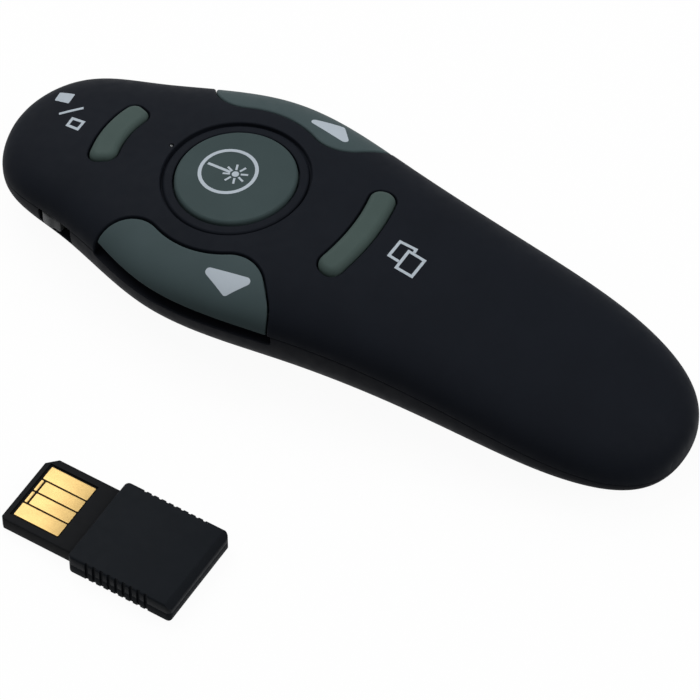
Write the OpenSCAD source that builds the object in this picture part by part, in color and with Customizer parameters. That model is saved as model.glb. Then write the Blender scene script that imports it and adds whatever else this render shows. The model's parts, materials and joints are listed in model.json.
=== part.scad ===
// Wireless presentation clicker with a plug-in radio receiver.
// Millimetres, +Z up. X runs from the nose (-) to the tail (+), the near side is -Y.
// The origin lies on the surface the clicker rests on, under the middle of its length.

/* [Body] */
// Overall length of the clicker
body_l = 106.0; // [105:0.1:107]
// Radius of the nose tip, seen from above
nose_tip_r = 17.7; // [17:0.1:18.5]
// Radius of the tail tip, seen from above
tail_tip_r = 19.8; // [19:0.1:20.5]
// Width just behind the nose tip
nose_w = 19.5; // [19.3:0.1:20]
// Width at the front key
neck_w = 27.6; // [27.4:0.1:28.4]
// Width across the page keys
wide_w = 37.9; // [37.7:0.1:38.6]
// Width at mid-length
waist_w = 34.1; // [33.9:0.1:34.8]
// Width of the grip
grip_w = 29.6; // [29.4:0.1:30.4]
// Width at the end of the grip
rear_w = 26.9; // [26.7:0.1:27.5]
// Width just ahead of the tail tip
tail_w = 18.6; // [18.4:0.1:19.2]
// Height of the parting line at the nose, mid-length and tail
part_h = [5.95, 10.9, 3.0];
// Rise of the crown over the parting line at the nose, mid-length and tail
crown_h = [6.5, 6.7, 7.85];
// Depth cut off the rounded underside to make it flat
belly_flat = 0.3; // [0.2:0.05:0.4]
// Wall thickness of both shells
wall = 1.5; // [1.4:0.05:1.55]

/* [Keys] */
// Middle of the round laser key, along the body
laser_key_x = -17.3; // [-17.6:0.1:-17]
// Radius of the round laser key
laser_key_r = 8.4; // [8.2:0.1:8.6]
// Radius of the sunken ring around the laser key
ring_r = 10.3; // [10:0.1:10.5]
// Depth of the sunken ring
ring_depth = 0.35; // [0.3:0.05:0.5]
// Width and depth of the groove at the rim of the sunken ring
ring_groove = [0.35, 0.8];
// Front key: distance from the laser key, bend radius, half length, corner radius
front_arc = [19.45, 14, 5.5, 1.5];
// Width of the front key
front_key_w = 4.0; // [3.8:0.1:4.2]
// Rear key: distance from the laser key, bend radius, half length, corner radius
rear_arc = [19.95, 28, 8.2, 1.65];
// Width of the rear key
rear_key_w = 3.6; // [3.5:0.1:3.9]
// Shift of the far page key from the near one's mirror image, along the body and outwards
far_key_shift = [-1.0, -0.3];
// How far the two bent keys stand above the crown
arc_rise = 0.55; // [0.3:0.05:0.7]
// Gap around each key
key_gap = 0.22; // [0.18:0.02:0.3]
// Travel of each key
key_travel = 0.5; // [0.3:0.05:0.5]

/* [Power and laser] */
// Diameter of one battery cell
cell_d = 10.5; // [10.2:0.1:10.5]
// Length of one battery cell
cell_l = 44.5; // [43.5:0.1:44.5]
// Diameter of the laser barrel
barrel_d = 6.0; // [5.6:0.1:6]
// Length of the laser barrel
barrel_l = 10.0; // [8:0.5:10]
// Travel of the power switch
switch_travel = 2.0; // [1.5:0.1:2.1]

/* [Receiver] */
// Length, width and thickness of the receiver body
receiver_size = [16.05, 14.4, 3.4];
// Length, width and thickness of the receiver plug
plug_size = [11.35, 12.0, 2.2];
// Front of the receiver body, along X
receiver_x = -7.55; // [-12:0.05:0]
// Centre line of the receiver, along Y
receiver_y = -49.67; // [-60:0.01:-40]

/* [Hidden] */
$fn = 48;
e = 0.01;

// Body surface
half_l = body_l / 2;
widths = [nose_w, neck_w, wide_w, waist_w, grip_w, rear_w, tail_w];
knots = len(widths) + 1;
knot_angle = 180 / knots;
crown_n = 2.4;
belly_n = 2.56;
crown_end_n = 0.483;
belly_end_n = 0.307;
tip_t = 0.006;
body_steps = 36;
half_steps = 14;

// Key openings
page_x = [-29.6, -1.35];
page_corner_r = 5.2;
page_ring_r = 13.2;
// Height of the page keys' lower edge at x = -30, -15 and 0
page_edge_h = [11.45, 11.3, 10.85];
page_notch_z = 9.2;
// Insets of the lower shell's lip behind the page keys, and its greatest height over the
// keys' lower edge and over the parting line
lip_insets = [2.1, 2.6];
lip_rise = [0.2, 1.5];
flange = 0.9;
cap_floor = 1.5;
flange_top = wall + 0.42;
flange_floor = flange_top + 0.45;
plunger_travel = 0.25;
stem_gap = key_travel - plunger_travel + 0.05;

// Boards and switches
board_top = 9.8;
board_t = 1.0;
board_x = [-46.0, -19.6];
board_margin = 1.3;
window_board_top = 13.9;
window_board_t = 0.8;
window_board_x = [-5.5, 10.5];
window_board_w = 14.6;
switch_w = 4.5;
plunger_r = 1.1;
// [x, y, board top, body height, height to the plunger's top] of each key switch
laser_switch = [-22.4, 0, board_top, 1.5, 2.0];
near_switch = [-22.4, -12.5, board_top, 1.5, 2.0];
far_switch = [-22.9, 12.5, board_top, 1.5, 2.0];
black_switch = [-36.7, 0, board_top, 1.5, 2.0];
window_switch = [2.8, 0, window_board_top, 1.0, 1.4];
switches = [laser_switch, near_switch, far_switch, black_switch, window_switch];

// Fasteners
// [x, y, screw length] of each case screw
case_spots = [[-31.5, -9.5, 10], [-31.5, 9.5, 10], [42.5, 0, 7.2]];
case_screw_r = 1.0;
case_boss_r = 2.4;
case_head_r = 1.9;
case_seat_z = 2.8;
main_post_xy = [[-42, -5.6], [-42, 5.6], [-25.5, -7.5], [-25.5, 7.5]];
window_post_xy = [[-3.6, 0], [8.6, 0]];
post_r = 1.6;
post_screw_r = 0.7;
post_head_r = 1.4;
post_head_h = 0.7;
post_screw_l = 3.2;

// Battery bay
bay_x = -18.1;
plate_t = 0.4;
spring_l = 4.1;
bay_l = cell_l + spring_l + 2 * plate_t;
cell_y = cell_d / 2 + 0.2;
cell_z = 7.0;
nub_r = 2.6;
nub_l = 0.9;
cover_t = 1.2;
cover_x = [bay_x + 0.3, bay_x + bay_l + 2.2];
cover_w = 22.8;
cover_gap = 0.25;
cover_r = 3;

// Laser and power switch
laser_z = 5.6;
barrel_x = -48;
bezel_r = 2.3;
bezel_x = [-52.3, -48.4];
aperture_r = 1.3;
knob_x = -39.1;
knob_w = 3.4;
knob_z = [5.9, 7.9];
knob_out = 13.4;
knob_depth = 1.7;
slot_x = [-41.3, -35.0];
switch_box = [7.0, 3.2, 3.5];
switch_box_x = -41.8;
switch_box_y = -10.8;
led_xy = [-28.2, 0.8];
pipe_r = 0.3;

// Receiver
receiver_wall = 0.8;
receiver_corner_r = 0.7;
receiver_split = 1.7;
receiver_board_z = 1.1;
receiver_board_t = 0.6;
receiver_part_z = receiver_board_z + receiver_board_t;
grip_x = 3.0;
grip_pitch = 1.15;
grip_count = 9;
plug_z = 0.2;
plug_root = 1.5;
// Height and thickness of the tongue that holds the plug in the receiver body
root_z = 0.8;
root_t = 1.3;
window_depth = 0.3;

// ---- Body surface -------------------------------------------------------------

// Value of a parabola through three values at -1, 0 and +1
function through(v, u) = v[1] + (v[2] - v[0]) / 2 * u + ((v[0] + v[2]) / 2 - v[1]) * u^2;

// Half-width divided by the sine of the station angle, at each knot
knot_spread = concat(
    [sqrt(nose_tip_r * half_l)],
    [for (k = [1 : knots - 1]) widths[k - 1] / 2 / sin(k * knot_angle)],
    [sqrt(tail_tip_r * half_l)]
);

// Control values of the natural cubic spline that runs through the knots
function settle(y, c, n) = n == 0 ? c : settle(y, [
    for (i = [0 : knots]) i == 0 || i == knots ? y[i] : (6 * y[i] - c[i - 1] - c[i + 1]) / 4
], n - 1);
bend = settle(knot_spread, knot_spread, 24);

function spread(t) = let(
    u = min(t * knots, knots - e / 100),
    i = floor(u),
    f = u - i,
    before = i == 0 ? 2 * bend[0] - bend[1] : bend[i - 1],
    after = i == knots - 1 ? 2 * bend[knots] - bend[knots - 1] : bend[i + 2]
) ((1 - f)^3 * before + (3 * f^3 - 6 * f^2 + 4) * bend[i]
    + (-3 * f^3 + 3 * f^2 + 3 * f + 1) * bend[i + 1] + f^3 * after) / 6;

// Station t runs from 0 at the nose to 1 at the tail; inset shrinks the surface
function station_of(x, inset = 0) = acos(-x / (half_l - inset)) / 180;
function half_w(t, inset) = sin(180 * t) * (spread(t) - inset);
function level(t) = through(part_h, -cos(180 * t));
function rise(t, inset) = (through(crown_h, -cos(180 * t)) - inset) * sin(180 * t)^crown_end_n;
function drop(t, inset) = let(u = -cos(180 * t))
    (level(t) + belly_flat - inset) * (1 - u^6)^belly_end_n;

// Point of the cross-section at station t and angle a, from +Y over the crown
function skin_point(t, inset, a) = let(
    over = sin(a) >= 0,
    n = over ? crown_n : belly_n,
    h = over ? rise(t, inset) : drop(t, inset),
    y = half_w(t, inset) * sign(cos(a)) * abs(cos(a))^(2 / n),
    z = level(t) + h * sign(sin(a)) * abs(sin(a))^(2 / n)
) [-(half_l - inset) * cos(180 * t), y, max(z, inset, 0)];

// Height of the crown surface above a point, and half-width at a height
function crown_z(x, y, inset = 0) = let(t = station_of(x, inset))
    level(t) + rise(t, inset) * (1 - (abs(y) / half_w(t, inset))^crown_n)^(1 / crown_n);
function width_at(x, z, inset) = let(
    t = station_of(x, inset),
    over = z >= level(t),
    n = over ? crown_n : belly_n,
    h = over ? rise(t, inset) : drop(t, inset)
) half_w(t, inset) * (1 - abs((z - level(t)) / h)^n)^(1 / n);

// Solid through rings of equal length; its ends are closed by strips across the ring
module loft(rings) {
    m = len(rings[0]);
    last = len(rings) - 1;
    sides = [
        for (i = [0 : last - 1]) for (j = [0 : m - 1])
            let(a = i * m + j, b = i * m + (j + 1) % m)
                for (face = [[a, a + m, b], [b, a + m, b + m]]) face
    ];
    strips = [
        for (j = [0 : floor((m - 1) / 2) - 1]) let(k = m - 1 - j)
            for (face = [[j, j + 1, k], [j + 1, k - 1, k]]) if (face[0] != face[1]) face
    ];
    last_cap = [for (s = strips) last * m * [1, 1, 1] + [s[0], s[2], s[1]]];
    polyhedron([for (ring = rings) each ring], concat(sides, strips, last_cap));
}

// Body solid between two section angles: 0 to 180 is the upper half, 180 to 360 the lower
module form(inset, from = 0, to = 360, steps = 2 * half_steps) {
    turns = to - from == 360 ? steps - 1 : steps;
    loft([for (i = [0 : body_steps]) let(t = tip_t + (1 - 2 * tip_t) * i / body_steps)
        [for (j = [0 : turns]) skin_point(t, inset, from + (to - from) * j / steps)]]);
}

// Curved slab of the crown between two insets, over a stretch of the body
module crown_slab(outer, inner, x_from, x_to, a_from = 15, a_to = 165, steps = 8, turns = 14) {
    loft([for (i = [0 : steps]) let(t = station_of(x_from + (x_to - x_from) * i / steps))
        concat(
            [for (j = [0 : turns]) skin_point(t, outer, a_from + (a_to - a_from) * j / turns)],
            [for (j = [turns : -1 : 0]) skin_point(t, inner, a_from + (a_to - a_from) * j / turns)]
        )]);
}

// ---- Outlines seen from above ---------------------------------------------------

// Bent bar with rounded corners; side is -1 ahead of the laser key and +1 behind it
module arc_outline(arc, w, side, grow) {
    r = arc[1];
    corner = arc[3];
    half_angle = arc[2] / r * 180 / PI;
    reach = 2 * r;
    translate([laser_key_x + side * (arc[0] - r), 0])
        offset(r = corner + grow, $fn = 48)
            offset(delta = -corner)
                intersection() {
                    difference() {
                        circle(r + w / 2, $fn = 144);
                        circle(r - w / 2, $fn = 144);
                    }
                    polygon([
                        [0, 0],
                        [side * reach * cos(half_angle), reach * sin(half_angle)],
                        [side * reach * cos(half_angle), -reach * sin(half_angle)]
                    ]);
                }
}

// Page key as it lies on the near side: a band along the flank, scooped out around the
// laser key; side is 0 for the near key and 1 for the far key before it is mirrored
module page_outline(grow, side) {
    translate(side * far_key_shift)
        offset(r = page_corner_r + grow, $fn = 72)
            offset(delta = -page_corner_r)
                difference() {
                    polygon([
                        [page_x[0], -27], [page_x[0], -9], [-8.2, -9],
                        [-1.8, -16.25], [page_x[1], -27]
                    ]);
                    translate([laser_key_x, 0]) circle(page_ring_r, $fn = 96);
                }
}

function page_edge_z(x) = through(page_edge_h, x / 15 + 1);
function lip_top(x) = min(page_edge_z(x) + lip_rise[0], level(station_of(x)) + lip_rise[1]);

// Space above a line along the body, given as its heights at equal steps
module above(heights, x_from, x_to) {
    steps = len(heights) - 1;
    rotate([90, 0, 0])
        linear_extrude(2 * wide_w, center = true)
            polygon(concat(
                [for (i = [0 : steps]) [x_from + (x_to - x_from) * i / steps, heights[i]]],
                [[x_to, 25], [x_from, 25]]
            ));
}

module rounded_rect(l, w, r) {
    square([l - 2 * r, w], center = true);
    square([l, w - 2 * r], center = true);
    for (x = [-1, 1], y = [-1, 1])
        translate([x * (l / 2 - r), y * (w / 2 - r)]) circle(r, $fn = 32);
}

module cover_outline(grow) {
    translate([(cover_x[0] + cover_x[1]) / 2, 0])
        rounded_rect(cover_x[1] - cover_x[0] + 2 * grow, cover_w + 2 * grow, cover_r);
}

// ---- Shells -----------------------------------------------------------------------

module shell_skin(from) {
    difference() {
        form(0, from, from + 180, half_steps);
        form(wall);
    }
}

module laser_bore(r) {
    translate([-half_l - 1, 0, laser_z]) rotate([0, 90, 0]) cylinder(8, r, r);
}

module top_cuts() {
    // Sunken ring with the groove at its rim, and the hole of the laser key
    intersection() {
        translate([laser_key_x, 0, 8]) cylinder(12, ring_r, ring_r, $fn = 96);
        crown_slab(-2, ring_depth, laser_key_x - 12, laser_key_x + 12);
    }
    intersection() {
        translate([laser_key_x, 0, 8]) difference() {
            cylinder(12, ring_r, ring_r, $fn = 96);
            translate([0, 0, -1])
                cylinder(14, ring_r - ring_groove[0], ring_r - ring_groove[0], $fn = 96);
        }
        crown_slab(-2, ring_groove[1], laser_key_x - 12, laser_key_x + 12);
    }
    translate([laser_key_x, 0, 8]) cylinder(12, laser_key_r + key_gap, laser_key_r + key_gap);
    // Bent keys
    translate([0, 0, 8]) linear_extrude(12) {
        arc_outline(front_arc, front_key_w, -1, key_gap);
        arc_outline(rear_arc, rear_key_w, 1, key_gap);
    }
    // Page keys, open down to the parting line
    for (side = [0, 1]) mirror([0, side, 0])
        translate([0, 0, 5]) linear_extrude(14) page_outline(key_gap, side);
    // Light pipe and laser bezel
    translate([led_xy[0], led_xy[1], 10]) cylinder(8, pipe_r + 0.05, pipe_r + 0.05);
    laser_bore(bezel_r + 0.05);
}

module top_bosses() {
    for (p = case_spots)
        translate([p[0], p[1], level(station_of(p[0]))]) cylinder(12, case_boss_r, case_boss_r);
    for (p = window_post_xy)
        translate([p[0], p[1], window_board_top]) cylinder(6, post_r, post_r);
}

module top_shell() {
    color([0.10, 0.11, 0.13])
        difference() {
            union() {
                shell_skin(0);
                intersection() {
                    top_bosses();
                    form(wall - 0.3);
                }
            }
            top_cuts();
            for (p = case_spots)
                translate([p[0], p[1], case_seat_z]) cylinder(p[2] + 0.3, case_screw_r, case_screw_r);
            for (p = window_post_xy)
                translate([p[0], p[1], 12]) cylinder(3.6, post_screw_r, post_screw_r);
        }
}

module bottom_fittings() {
    // Screw bosses and board posts
    for (p = case_spots)
        translate([p[0], p[1], 0]) cylinder(level(station_of(p[0])) - 0.1, case_boss_r, case_boss_r);
    for (p = main_post_xy)
        translate([p[0], p[1], 0]) cylinder(board_top - board_t, post_r, post_r);
    // End walls of the battery bay
    translate([bay_x - 1, -14, 0]) cube([1, 28, board_top + 0.5]);
    translate([bay_x + bay_l, -14, 5]) cube([1, 28, 5.4]);
    // Cradles of the laser barrel
    for (x = [barrel_x + 1, barrel_x + barrel_l - 2])
        translate([x, -5, 0]) cube([1, 10, laser_z]);
}

// Rim of the lower shell lowered under the page keys
module page_notches() {
    for (side = [0, 1]) mirror([0, side, 0])
        translate([page_x[0] - key_gap + side * far_key_shift[0], -25, page_notch_z])
            cube([page_x[1] - page_x[0] + 2 * key_gap, 10.5, 4]);
}

// Lip that stands up inside the shell behind a page key and closes the view inwards
module page_lip() {
    steps = 10;
    foot = page_notch_z - 0.8;
    foot_inset = wall - 0.2;
    loft([for (i = [0 : steps]) let(
            x = page_x[0] - 1.4 + (page_x[1] - page_x[0] + 1.9) * i / steps,
            rise = (lip_top(x) - page_notch_z) / 3,
            z = concat([foot, page_notch_z - 0.2], [for (k = [0 : 3]) page_notch_z + k * rise])
        ) concat(
            [for (k = [5 : -1 : 0]) [x, -width_at(x, z[k], k < 2 ? foot_inset : lip_insets[0]), z[k]]],
            [for (k = [0 : 5]) [x, -width_at(x, z[k], lip_insets[1]), z[k]]]
        )]);
}

module bottom_shell() {
    color([0.09, 0.10, 0.11])
        difference() {
            union() {
                difference() {
                    shell_skin(180);
                    page_notches();
                }
                page_lip();
                mirror([0, 1, 0]) page_lip();
                intersection() {
                    bottom_fittings();
                    union() {
                        form(wall - 0.3, 180, 360, half_steps);
                        form(wall + 0.3);
                    }
                }
            }
            // Battery opening
            translate([0, 0, -1]) linear_extrude(6) cover_outline(cover_gap);
            // Counterbores and clearance holes of the case screws
            for (p = case_spots) translate([p[0], p[1], -1]) {
                cylinder(case_seat_z + 1, case_head_r + 0.1, case_head_r + 0.1);
                cylinder(13, case_screw_r + 0.1, case_screw_r + 0.1);
            }
            for (p = main_post_xy)
                translate([p[0], p[1], board_top - board_t - 2.6])
                    cylinder(3, post_screw_r, post_screw_r);
            laser_bore(bezel_r + 0.05);
            translate([barrel_x, 0, laser_z]) rotate([0, 90, 0])
                cylinder(barrel_l + 2, barrel_d / 2 + 0.02, barrel_d / 2 + 0.02);
            // Slot of the power switch, open up to the parting line
            translate([slot_x[0], -16, knob_z[0] - 0.3]) cube([slot_x[1] - slot_x[0], 6, 4]);
        }
}

module battery_cover() {
    tab = [4, 12, 0.9];
    color([0.09, 0.10, 0.11])
        difference() {
            union() {
                difference() {
                    intersection() {
                        form(0, 180, 360, half_steps);
                        translate([0, 0, -1]) linear_extrude(5) cover_outline(0);
                    }
                    form(cover_t);
                }
                // Tongue that hooks over the floor behind the opening
                translate([cover_x[1] - 2, -tab[1] / 2, wall + 0.5]) cube(tab);
                translate([cover_x[1] - 2, -tab[1] / 2, cover_t - 0.4]) cube([1.6, tab[1], 1.4]);
            }
            // Thumbnail notch
            translate([cover_x[0] - 1.2, 0, -2]) cylinder(2.9, 3.2, 3.2);
        }
}

module laser_bezel() {
    color([0.35, 0.36, 0.38])
        translate([0, 0, laser_z]) rotate([0, 90, 0])
            rotate_extrude()
                polygon([
                    [aperture_r, bezel_x[0] + 0.8], [aperture_r, bezel_x[1]],
                    [bezel_r, bezel_x[1]], [bezel_r, bezel_x[0] + 0.4],
                    [bezel_r - 0.4, bezel_x[0]], [aperture_r + 0.4, bezel_x[0]]
                ]);
}

// ---- Keys -------------------------------------------------------------------------

// Stem from inside a key cap down to just above its switch
module stem(s, cap_inset) {
    z = s[2] + s[4] + stem_gap;
    top = crown_z(s[0], s[1], cap_inset) + 0.3;
    translate([s[0], s[1], z]) cylinder(top - z, plunger_r, plunger_r);
}

module laser_button() {
    color([0.24, 0.29, 0.29]) {
        intersection() {
            crown_slab(-0.05, flange_floor, laser_key_x - 12, laser_key_x + 12);
            translate([laser_key_x, 0, 8]) cylinder(12, laser_key_r, laser_key_r, $fn = 96);
        }
        intersection() {
            crown_slab(flange_top, flange_floor, laser_key_x - 12, laser_key_x + 12);
            translate([laser_key_x, 0, 8])
                cylinder(12, laser_key_r + flange, laser_key_r + flange);
        }
        stem(laser_switch, flange_floor);
    }
}

module page_button(s, side) {
    x_from = -33;
    x_to = 0.5;
    xs = [for (i = [0 : 12]) x_from + (x_to - x_from) * i / 12];
    edge = [for (x = xs) page_edge_z(x)];
    flange_edge = [for (x = xs) level(station_of(x)) + 3];
    color([0.26, 0.31, 0.32]) {
        intersection() {
            crown_slab(0.05, cap_floor, x_from, x_to, -6, 186, 10, 22);
            translate([0, 0, 5]) linear_extrude(14) page_outline(0, side);
            above(edge, x_from, x_to);
        }
        intersection() {
            crown_slab(cap_floor - 0.2, flange_floor, x_from, x_to, 15, 165);
            translate([0, 0, 5]) linear_extrude(14) page_outline(-0.8, side);
            above(flange_edge, x_from, x_to);
        }
        intersection() {
            crown_slab(flange_top, flange_floor, x_from, x_to, 15, 165);
            translate([0, 0, 5]) linear_extrude(14) page_outline(flange, side);
            above(flange_edge, x_from, x_to);
        }
        stem(s, flange_floor);
    }
}

module near_page_button() {
    page_button(near_switch, 0);
}

module far_page_button() {
    mirror([0, 1, 0]) page_button([far_switch[0], -far_switch[1], far_switch[2], 0, far_switch[4]], 1);
}

module arc_button(arc, w, side, s, cap_inner) {
    x_mid = laser_key_x + side * arc[0];
    x_from = x_mid - w - 2;
    x_to = x_mid + w + 2;
    ends = switch_w / 2 + 0.5;
    color([0.29, 0.33, 0.32]) {
        intersection() {
            crown_slab(-arc_rise, cap_inner, x_from, x_to, 30, 150, 6, 10);
            translate([0, 0, 8]) linear_extrude(12) arc_outline(arc, w, side, 0);
        }
        // Retaining tabs at both ends, clear of the switch
        intersection() {
            crown_slab(cap_inner - 0.2, flange_floor, x_from, x_to, 30, 150, 6, 10);
            translate([0, 0, 8]) linear_extrude(12) difference() {
                arc_outline(arc, w, side, -0.2);
                square([200, 2 * ends], center = true);
            }
        }
        intersection() {
            crown_slab(flange_top, flange_floor, x_from, x_to, 30, 150, 6, 10);
            translate([0, 0, 8]) linear_extrude(12) difference() {
                arc_outline(arc, w, side, flange);
                square([200, 2 * ends], center = true);
            }
        }
        stem(s, cap_inner);
    }
}

module black_screen_button() {
    arc_button(front_arc, front_key_w, -1, black_switch, 1.0);
}

module window_button() {
    arc_button(rear_arc, rear_key_w, 1, window_switch, 1.2);
}

module plunger(s) {
    seat = s[2] + s[3] - 0.45;
    color([0.85, 0.83, 0.78])
        translate([s[0], s[1], seat]) cylinder(s[2] + s[4] - seat, plunger_r, plunger_r);
}

// ---- Power switch and status light ----------------------------------------------------

module power_switch_knob() {
    color([0.30, 0.31, 0.32]) {
        // Ridged thumb face that follows the flank
        translate([knob_x, -knob_out, knob_z[0]])
            linear_extrude(knob_z[1] - knob_z[0])
                polygon([
                    [-knob_w / 2, 0.55], [-0.15, 0], [0.15, 0], [0.5, 0.2], [knob_w / 2, 0.05],
                    [knob_w / 2, knob_depth], [-knob_w / 2, knob_depth]
                ]);
        translate([knob_x - 0.6, -knob_out + knob_depth - e, (knob_z[0] + knob_z[1]) / 2 - 0.5])
            cube([1.2, 2.5, 1.0]);
    }
}

module power_switch_body() {
    z = board_top - board_t - switch_box[2] - 0.02;
    slot_z = (knob_z[0] + knob_z[1]) / 2;
    color([0.12, 0.12, 0.13])
        difference() {
            translate([switch_box_x, switch_box_y, z]) cube(switch_box);
            translate([knob_x - 0.9, switch_box_y - 1, slot_z - 0.75])
                cube([switch_travel + 1.8, 3.4, 1.5]);
        }
    color([0.75, 0.72, 0.60])
        for (i = [0 : 2])
            translate([switch_box_x + 1.6 + i * 2, switch_box_y + switch_box[1] - e, z + switch_box[2] - 0.9])
                cube([0.5, 0.4, 0.9]);
}

module status_led() {
    color([0.9, 0.9, 0.8])
        translate([led_xy[0] - 0.8, led_xy[1] - 0.4, board_top]) cube([1.6, 0.8, 0.6]);
}

module status_light_pipe() {
    color([0.85, 0.9, 0.95, 0.6])
        translate([led_xy[0], led_xy[1], board_top + 0.8]) {
            cylinder(crown_z(led_xy[0], led_xy[1]) - board_top - 0.9, pipe_r, pipe_r);
            translate([0, 0, 1.2]) cylinder(0.8, 1, 1);
        }
}

// ---- Boards -------------------------------------------------------------------------

function board_edge(x) = min(width_at(x, board_top - board_t, wall), width_at(x, board_top, wall))
    - board_margin;

module main_board() {
    steps = 12;
    xs = [for (i = [0 : steps]) board_x[0] + (board_x[1] - board_x[0]) * i / steps];
    color([0.05, 0.30, 0.18])
        translate([0, 0, board_top - board_t])
            linear_extrude(board_t)
                difference() {
                    polygon(concat(
                        [for (x = xs) [x, -board_edge(x)]],
                        [for (i = [steps : -1 : 0]) [xs[i], board_edge(xs[i])]]
                    ));
                    for (i = [0, 1]) translate([case_spots[i][0], case_spots[i][1]])
                        circle(case_boss_r + 0.3);
                    for (p = main_post_xy) translate(p) circle(post_screw_r + 0.1);
                }
}

module window_board() {
    mid = (window_board_x[0] + window_board_x[1]) / 2;
    color([0.05, 0.30, 0.18])
        translate([0, 0, window_board_top - window_board_t])
            linear_extrude(window_board_t)
                difference() {
                    translate([mid, 0])
                        rounded_rect(window_board_x[1] - window_board_x[0], window_board_w, 1);
                    for (p = window_post_xy) translate(p) circle(post_screw_r + 0.1);
                }
}

// Flat ribbon from the main board over the front of the cells to the window board
module ribbon_cable() {
    low = board_top;
    over_cells = 12.8;
    high = window_board_top;
    path = [
        [-21.2, low], [-20.4, low], [-19.4, over_cells],
        [-6.9, over_cells], [-5.8, high], [-4.6, high]
    ];
    color([0.80, 0.78, 0.70])
        translate([0, 7.6, 0]) rotate([90, 0, 0]) linear_extrude(3.4)
            polygon(concat(path, [for (i = [len(path) - 1 : -1 : 0]) path[i] + [-0.2, 0.25]]));
}

module switch_bodies() {
    color([0.12, 0.12, 0.13])
        for (s = switches)
            translate([s[0], s[1], s[2]])
                difference() {
                    translate([-switch_w / 2, -switch_w / 2, 0])
                        cube([switch_w, switch_w, s[3] - 0.2]);
                    translate([0, 0, 0.2]) cylinder(3, plunger_r + 0.4, plunger_r + 0.4);
                }
}

module switch_covers() {
    color([0.75, 0.76, 0.77])
        for (s = switches)
            translate([s[0], s[1], s[2] + s[3] - 0.2])
                difference() {
                    translate([-switch_w / 2, -switch_w / 2, 0]) cube([switch_w, switch_w, 0.2]);
                    translate([0, 0, -1]) cylinder(3, plunger_r + 0.15, plunger_r + 0.15);
                }
}

// Chip with pads on two sides
module chip(size, pads, pitch) {
    color([0.10, 0.10, 0.11]) translate([-size[0] / 2, -size[1] / 2, 0.1]) cube(size);
    color([0.75, 0.76, 0.77])
        for (i = [0 : pads - 1], side = [-1, 1])
            translate([(i - (pads - 1) / 2) * pitch, side * (size[1] / 2 + 0.1), 0.15])
                cube([pitch / 2, 0.6, 0.3], center = true);
}

module radio_chip() {
    translate([-29.4, -4.0, board_top]) chip([4.4, 3.6, 0.9], 6, 0.65);
}

module laser_driver() {
    translate([-40.9, 0, board_top]) chip([2.9, 1.6, 0.9], 3, 0.95);
}

module crystal() {
    color([0.80, 0.80, 0.78])
        translate([-30.2, 3.4, board_top]) {
            translate([-1.6, -1.25, 0]) cube([3.2, 2.5, 0.35]);
            translate([-1.4, -1.05, 0.35]) cube([2.8, 2.1, 0.4]);
        }
}

module passives() {
    spots = [[-33.2, -4.2], [-33.2, 4.0], [-26.6, 4.4], [-24.6, -4.4], [-31.8, -1.2], [-39.8, 4.6]];
    for (p = spots) translate([p[0] - 0.8, p[1] - 0.4, board_top]) {
        color([0.62, 0.52, 0.38]) translate([0.3, 0, 0]) cube([1.0, 0.8, 0.5]);
        color([0.80, 0.80, 0.78]) for (x = [0, 1.3]) translate([x, 0, 0]) cube([0.3, 0.8, 0.5]);
    }
}

// Folded copper track at the nose end of the main board
module board_antenna() {
    track = 0.35;
    fold = 1.2;
    reach = 3.6;
    color([0.80, 0.55, 0.30])
        translate([-45.6, -reach, board_top]) {
            for (i = [0 : 2]) translate([i * fold, 0, 0]) cube([track, 2 * reach, 0.08]);
            translate([0, 2 * reach - track, 0]) cube([fold + track, track, 0.08]);
            translate([fold, 0, 0]) cube([fold + track, track, 0.08]);
        }
}

// ---- Laser ----------------------------------------------------------------------------

module along_x(x, z) {
    translate([x, 0, z]) rotate([0, 90, 0]) children();
}

module laser_barrel() {
    r = barrel_d / 2;
    color([0.78, 0.62, 0.32])
        along_x(barrel_x, laser_z)
            rotate_extrude()
                polygon([
                    [1.5, 0], [r, 0], [r, barrel_l], [2.3, barrel_l],
                    [2.3, 2.0], [1.5, 2.0]
                ]);
}

module laser_lens() {
    color([0.75, 0.85, 0.95, 0.5])
        along_x(barrel_x + 2.05, laser_z)
            rotate_extrude()
                polygon([[0, 0.1], [1, 0.25], [2.2, 0.6], [2.2, 1.4], [1, 1.75], [0, 1.9]]);
}

module laser_diode() {
    color([0.80, 0.72, 0.45])
        along_x(barrel_x + 5.2, laser_z) {
            cylinder(2.2, 1.6, 1.6);
            translate([0, 0, 2.2]) cylinder(0.6, 2.2, 2.2);
        }
}

// Two wires from the diode, back out of the barrel and up to the board
module laser_leads() {
    r = 0.3;
    bend_r = 1.2;
    x_from = barrel_x + 8.0;
    x_bend = barrel_x + barrel_l + 0.8;
    color([0.70, 0.12, 0.10])
        for (y = [-0.9, 0.9]) translate([0, y, laser_z]) {
            translate([x_from, 0, 0]) rotate([0, 90, 0]) cylinder(x_bend - x_from, r, r, $fn = 24);
            translate([x_bend, 0, bend_r]) rotate([90, 0, 0]) rotate(-90)
                rotate_extrude(angle = 90, $fn = 48) translate([bend_r, 0]) circle(r, $fn = 24);
            translate([x_bend + bend_r, 0, bend_r])
                cylinder(board_top - board_t - laser_z - bend_r, r, r, $fn = 24);
        }
}

// ---- Battery ---------------------------------------------------------------------------

// One cell standing on its negative end
module cell() {
    color([0.20, 0.33, 0.42])
        rotate_extrude()
            polygon([
                [0, 0], [cell_d / 2 - 0.4, 0], [cell_d / 2, 0.4],
                [cell_d / 2, cell_l - nub_l - 0.4], [cell_d / 2 - 0.4, cell_l - nub_l],
                [nub_r, cell_l - nub_l], [nub_r, cell_l - 0.2],
                [nub_r - 0.2, cell_l], [0, cell_l]
            ]);
}

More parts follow.
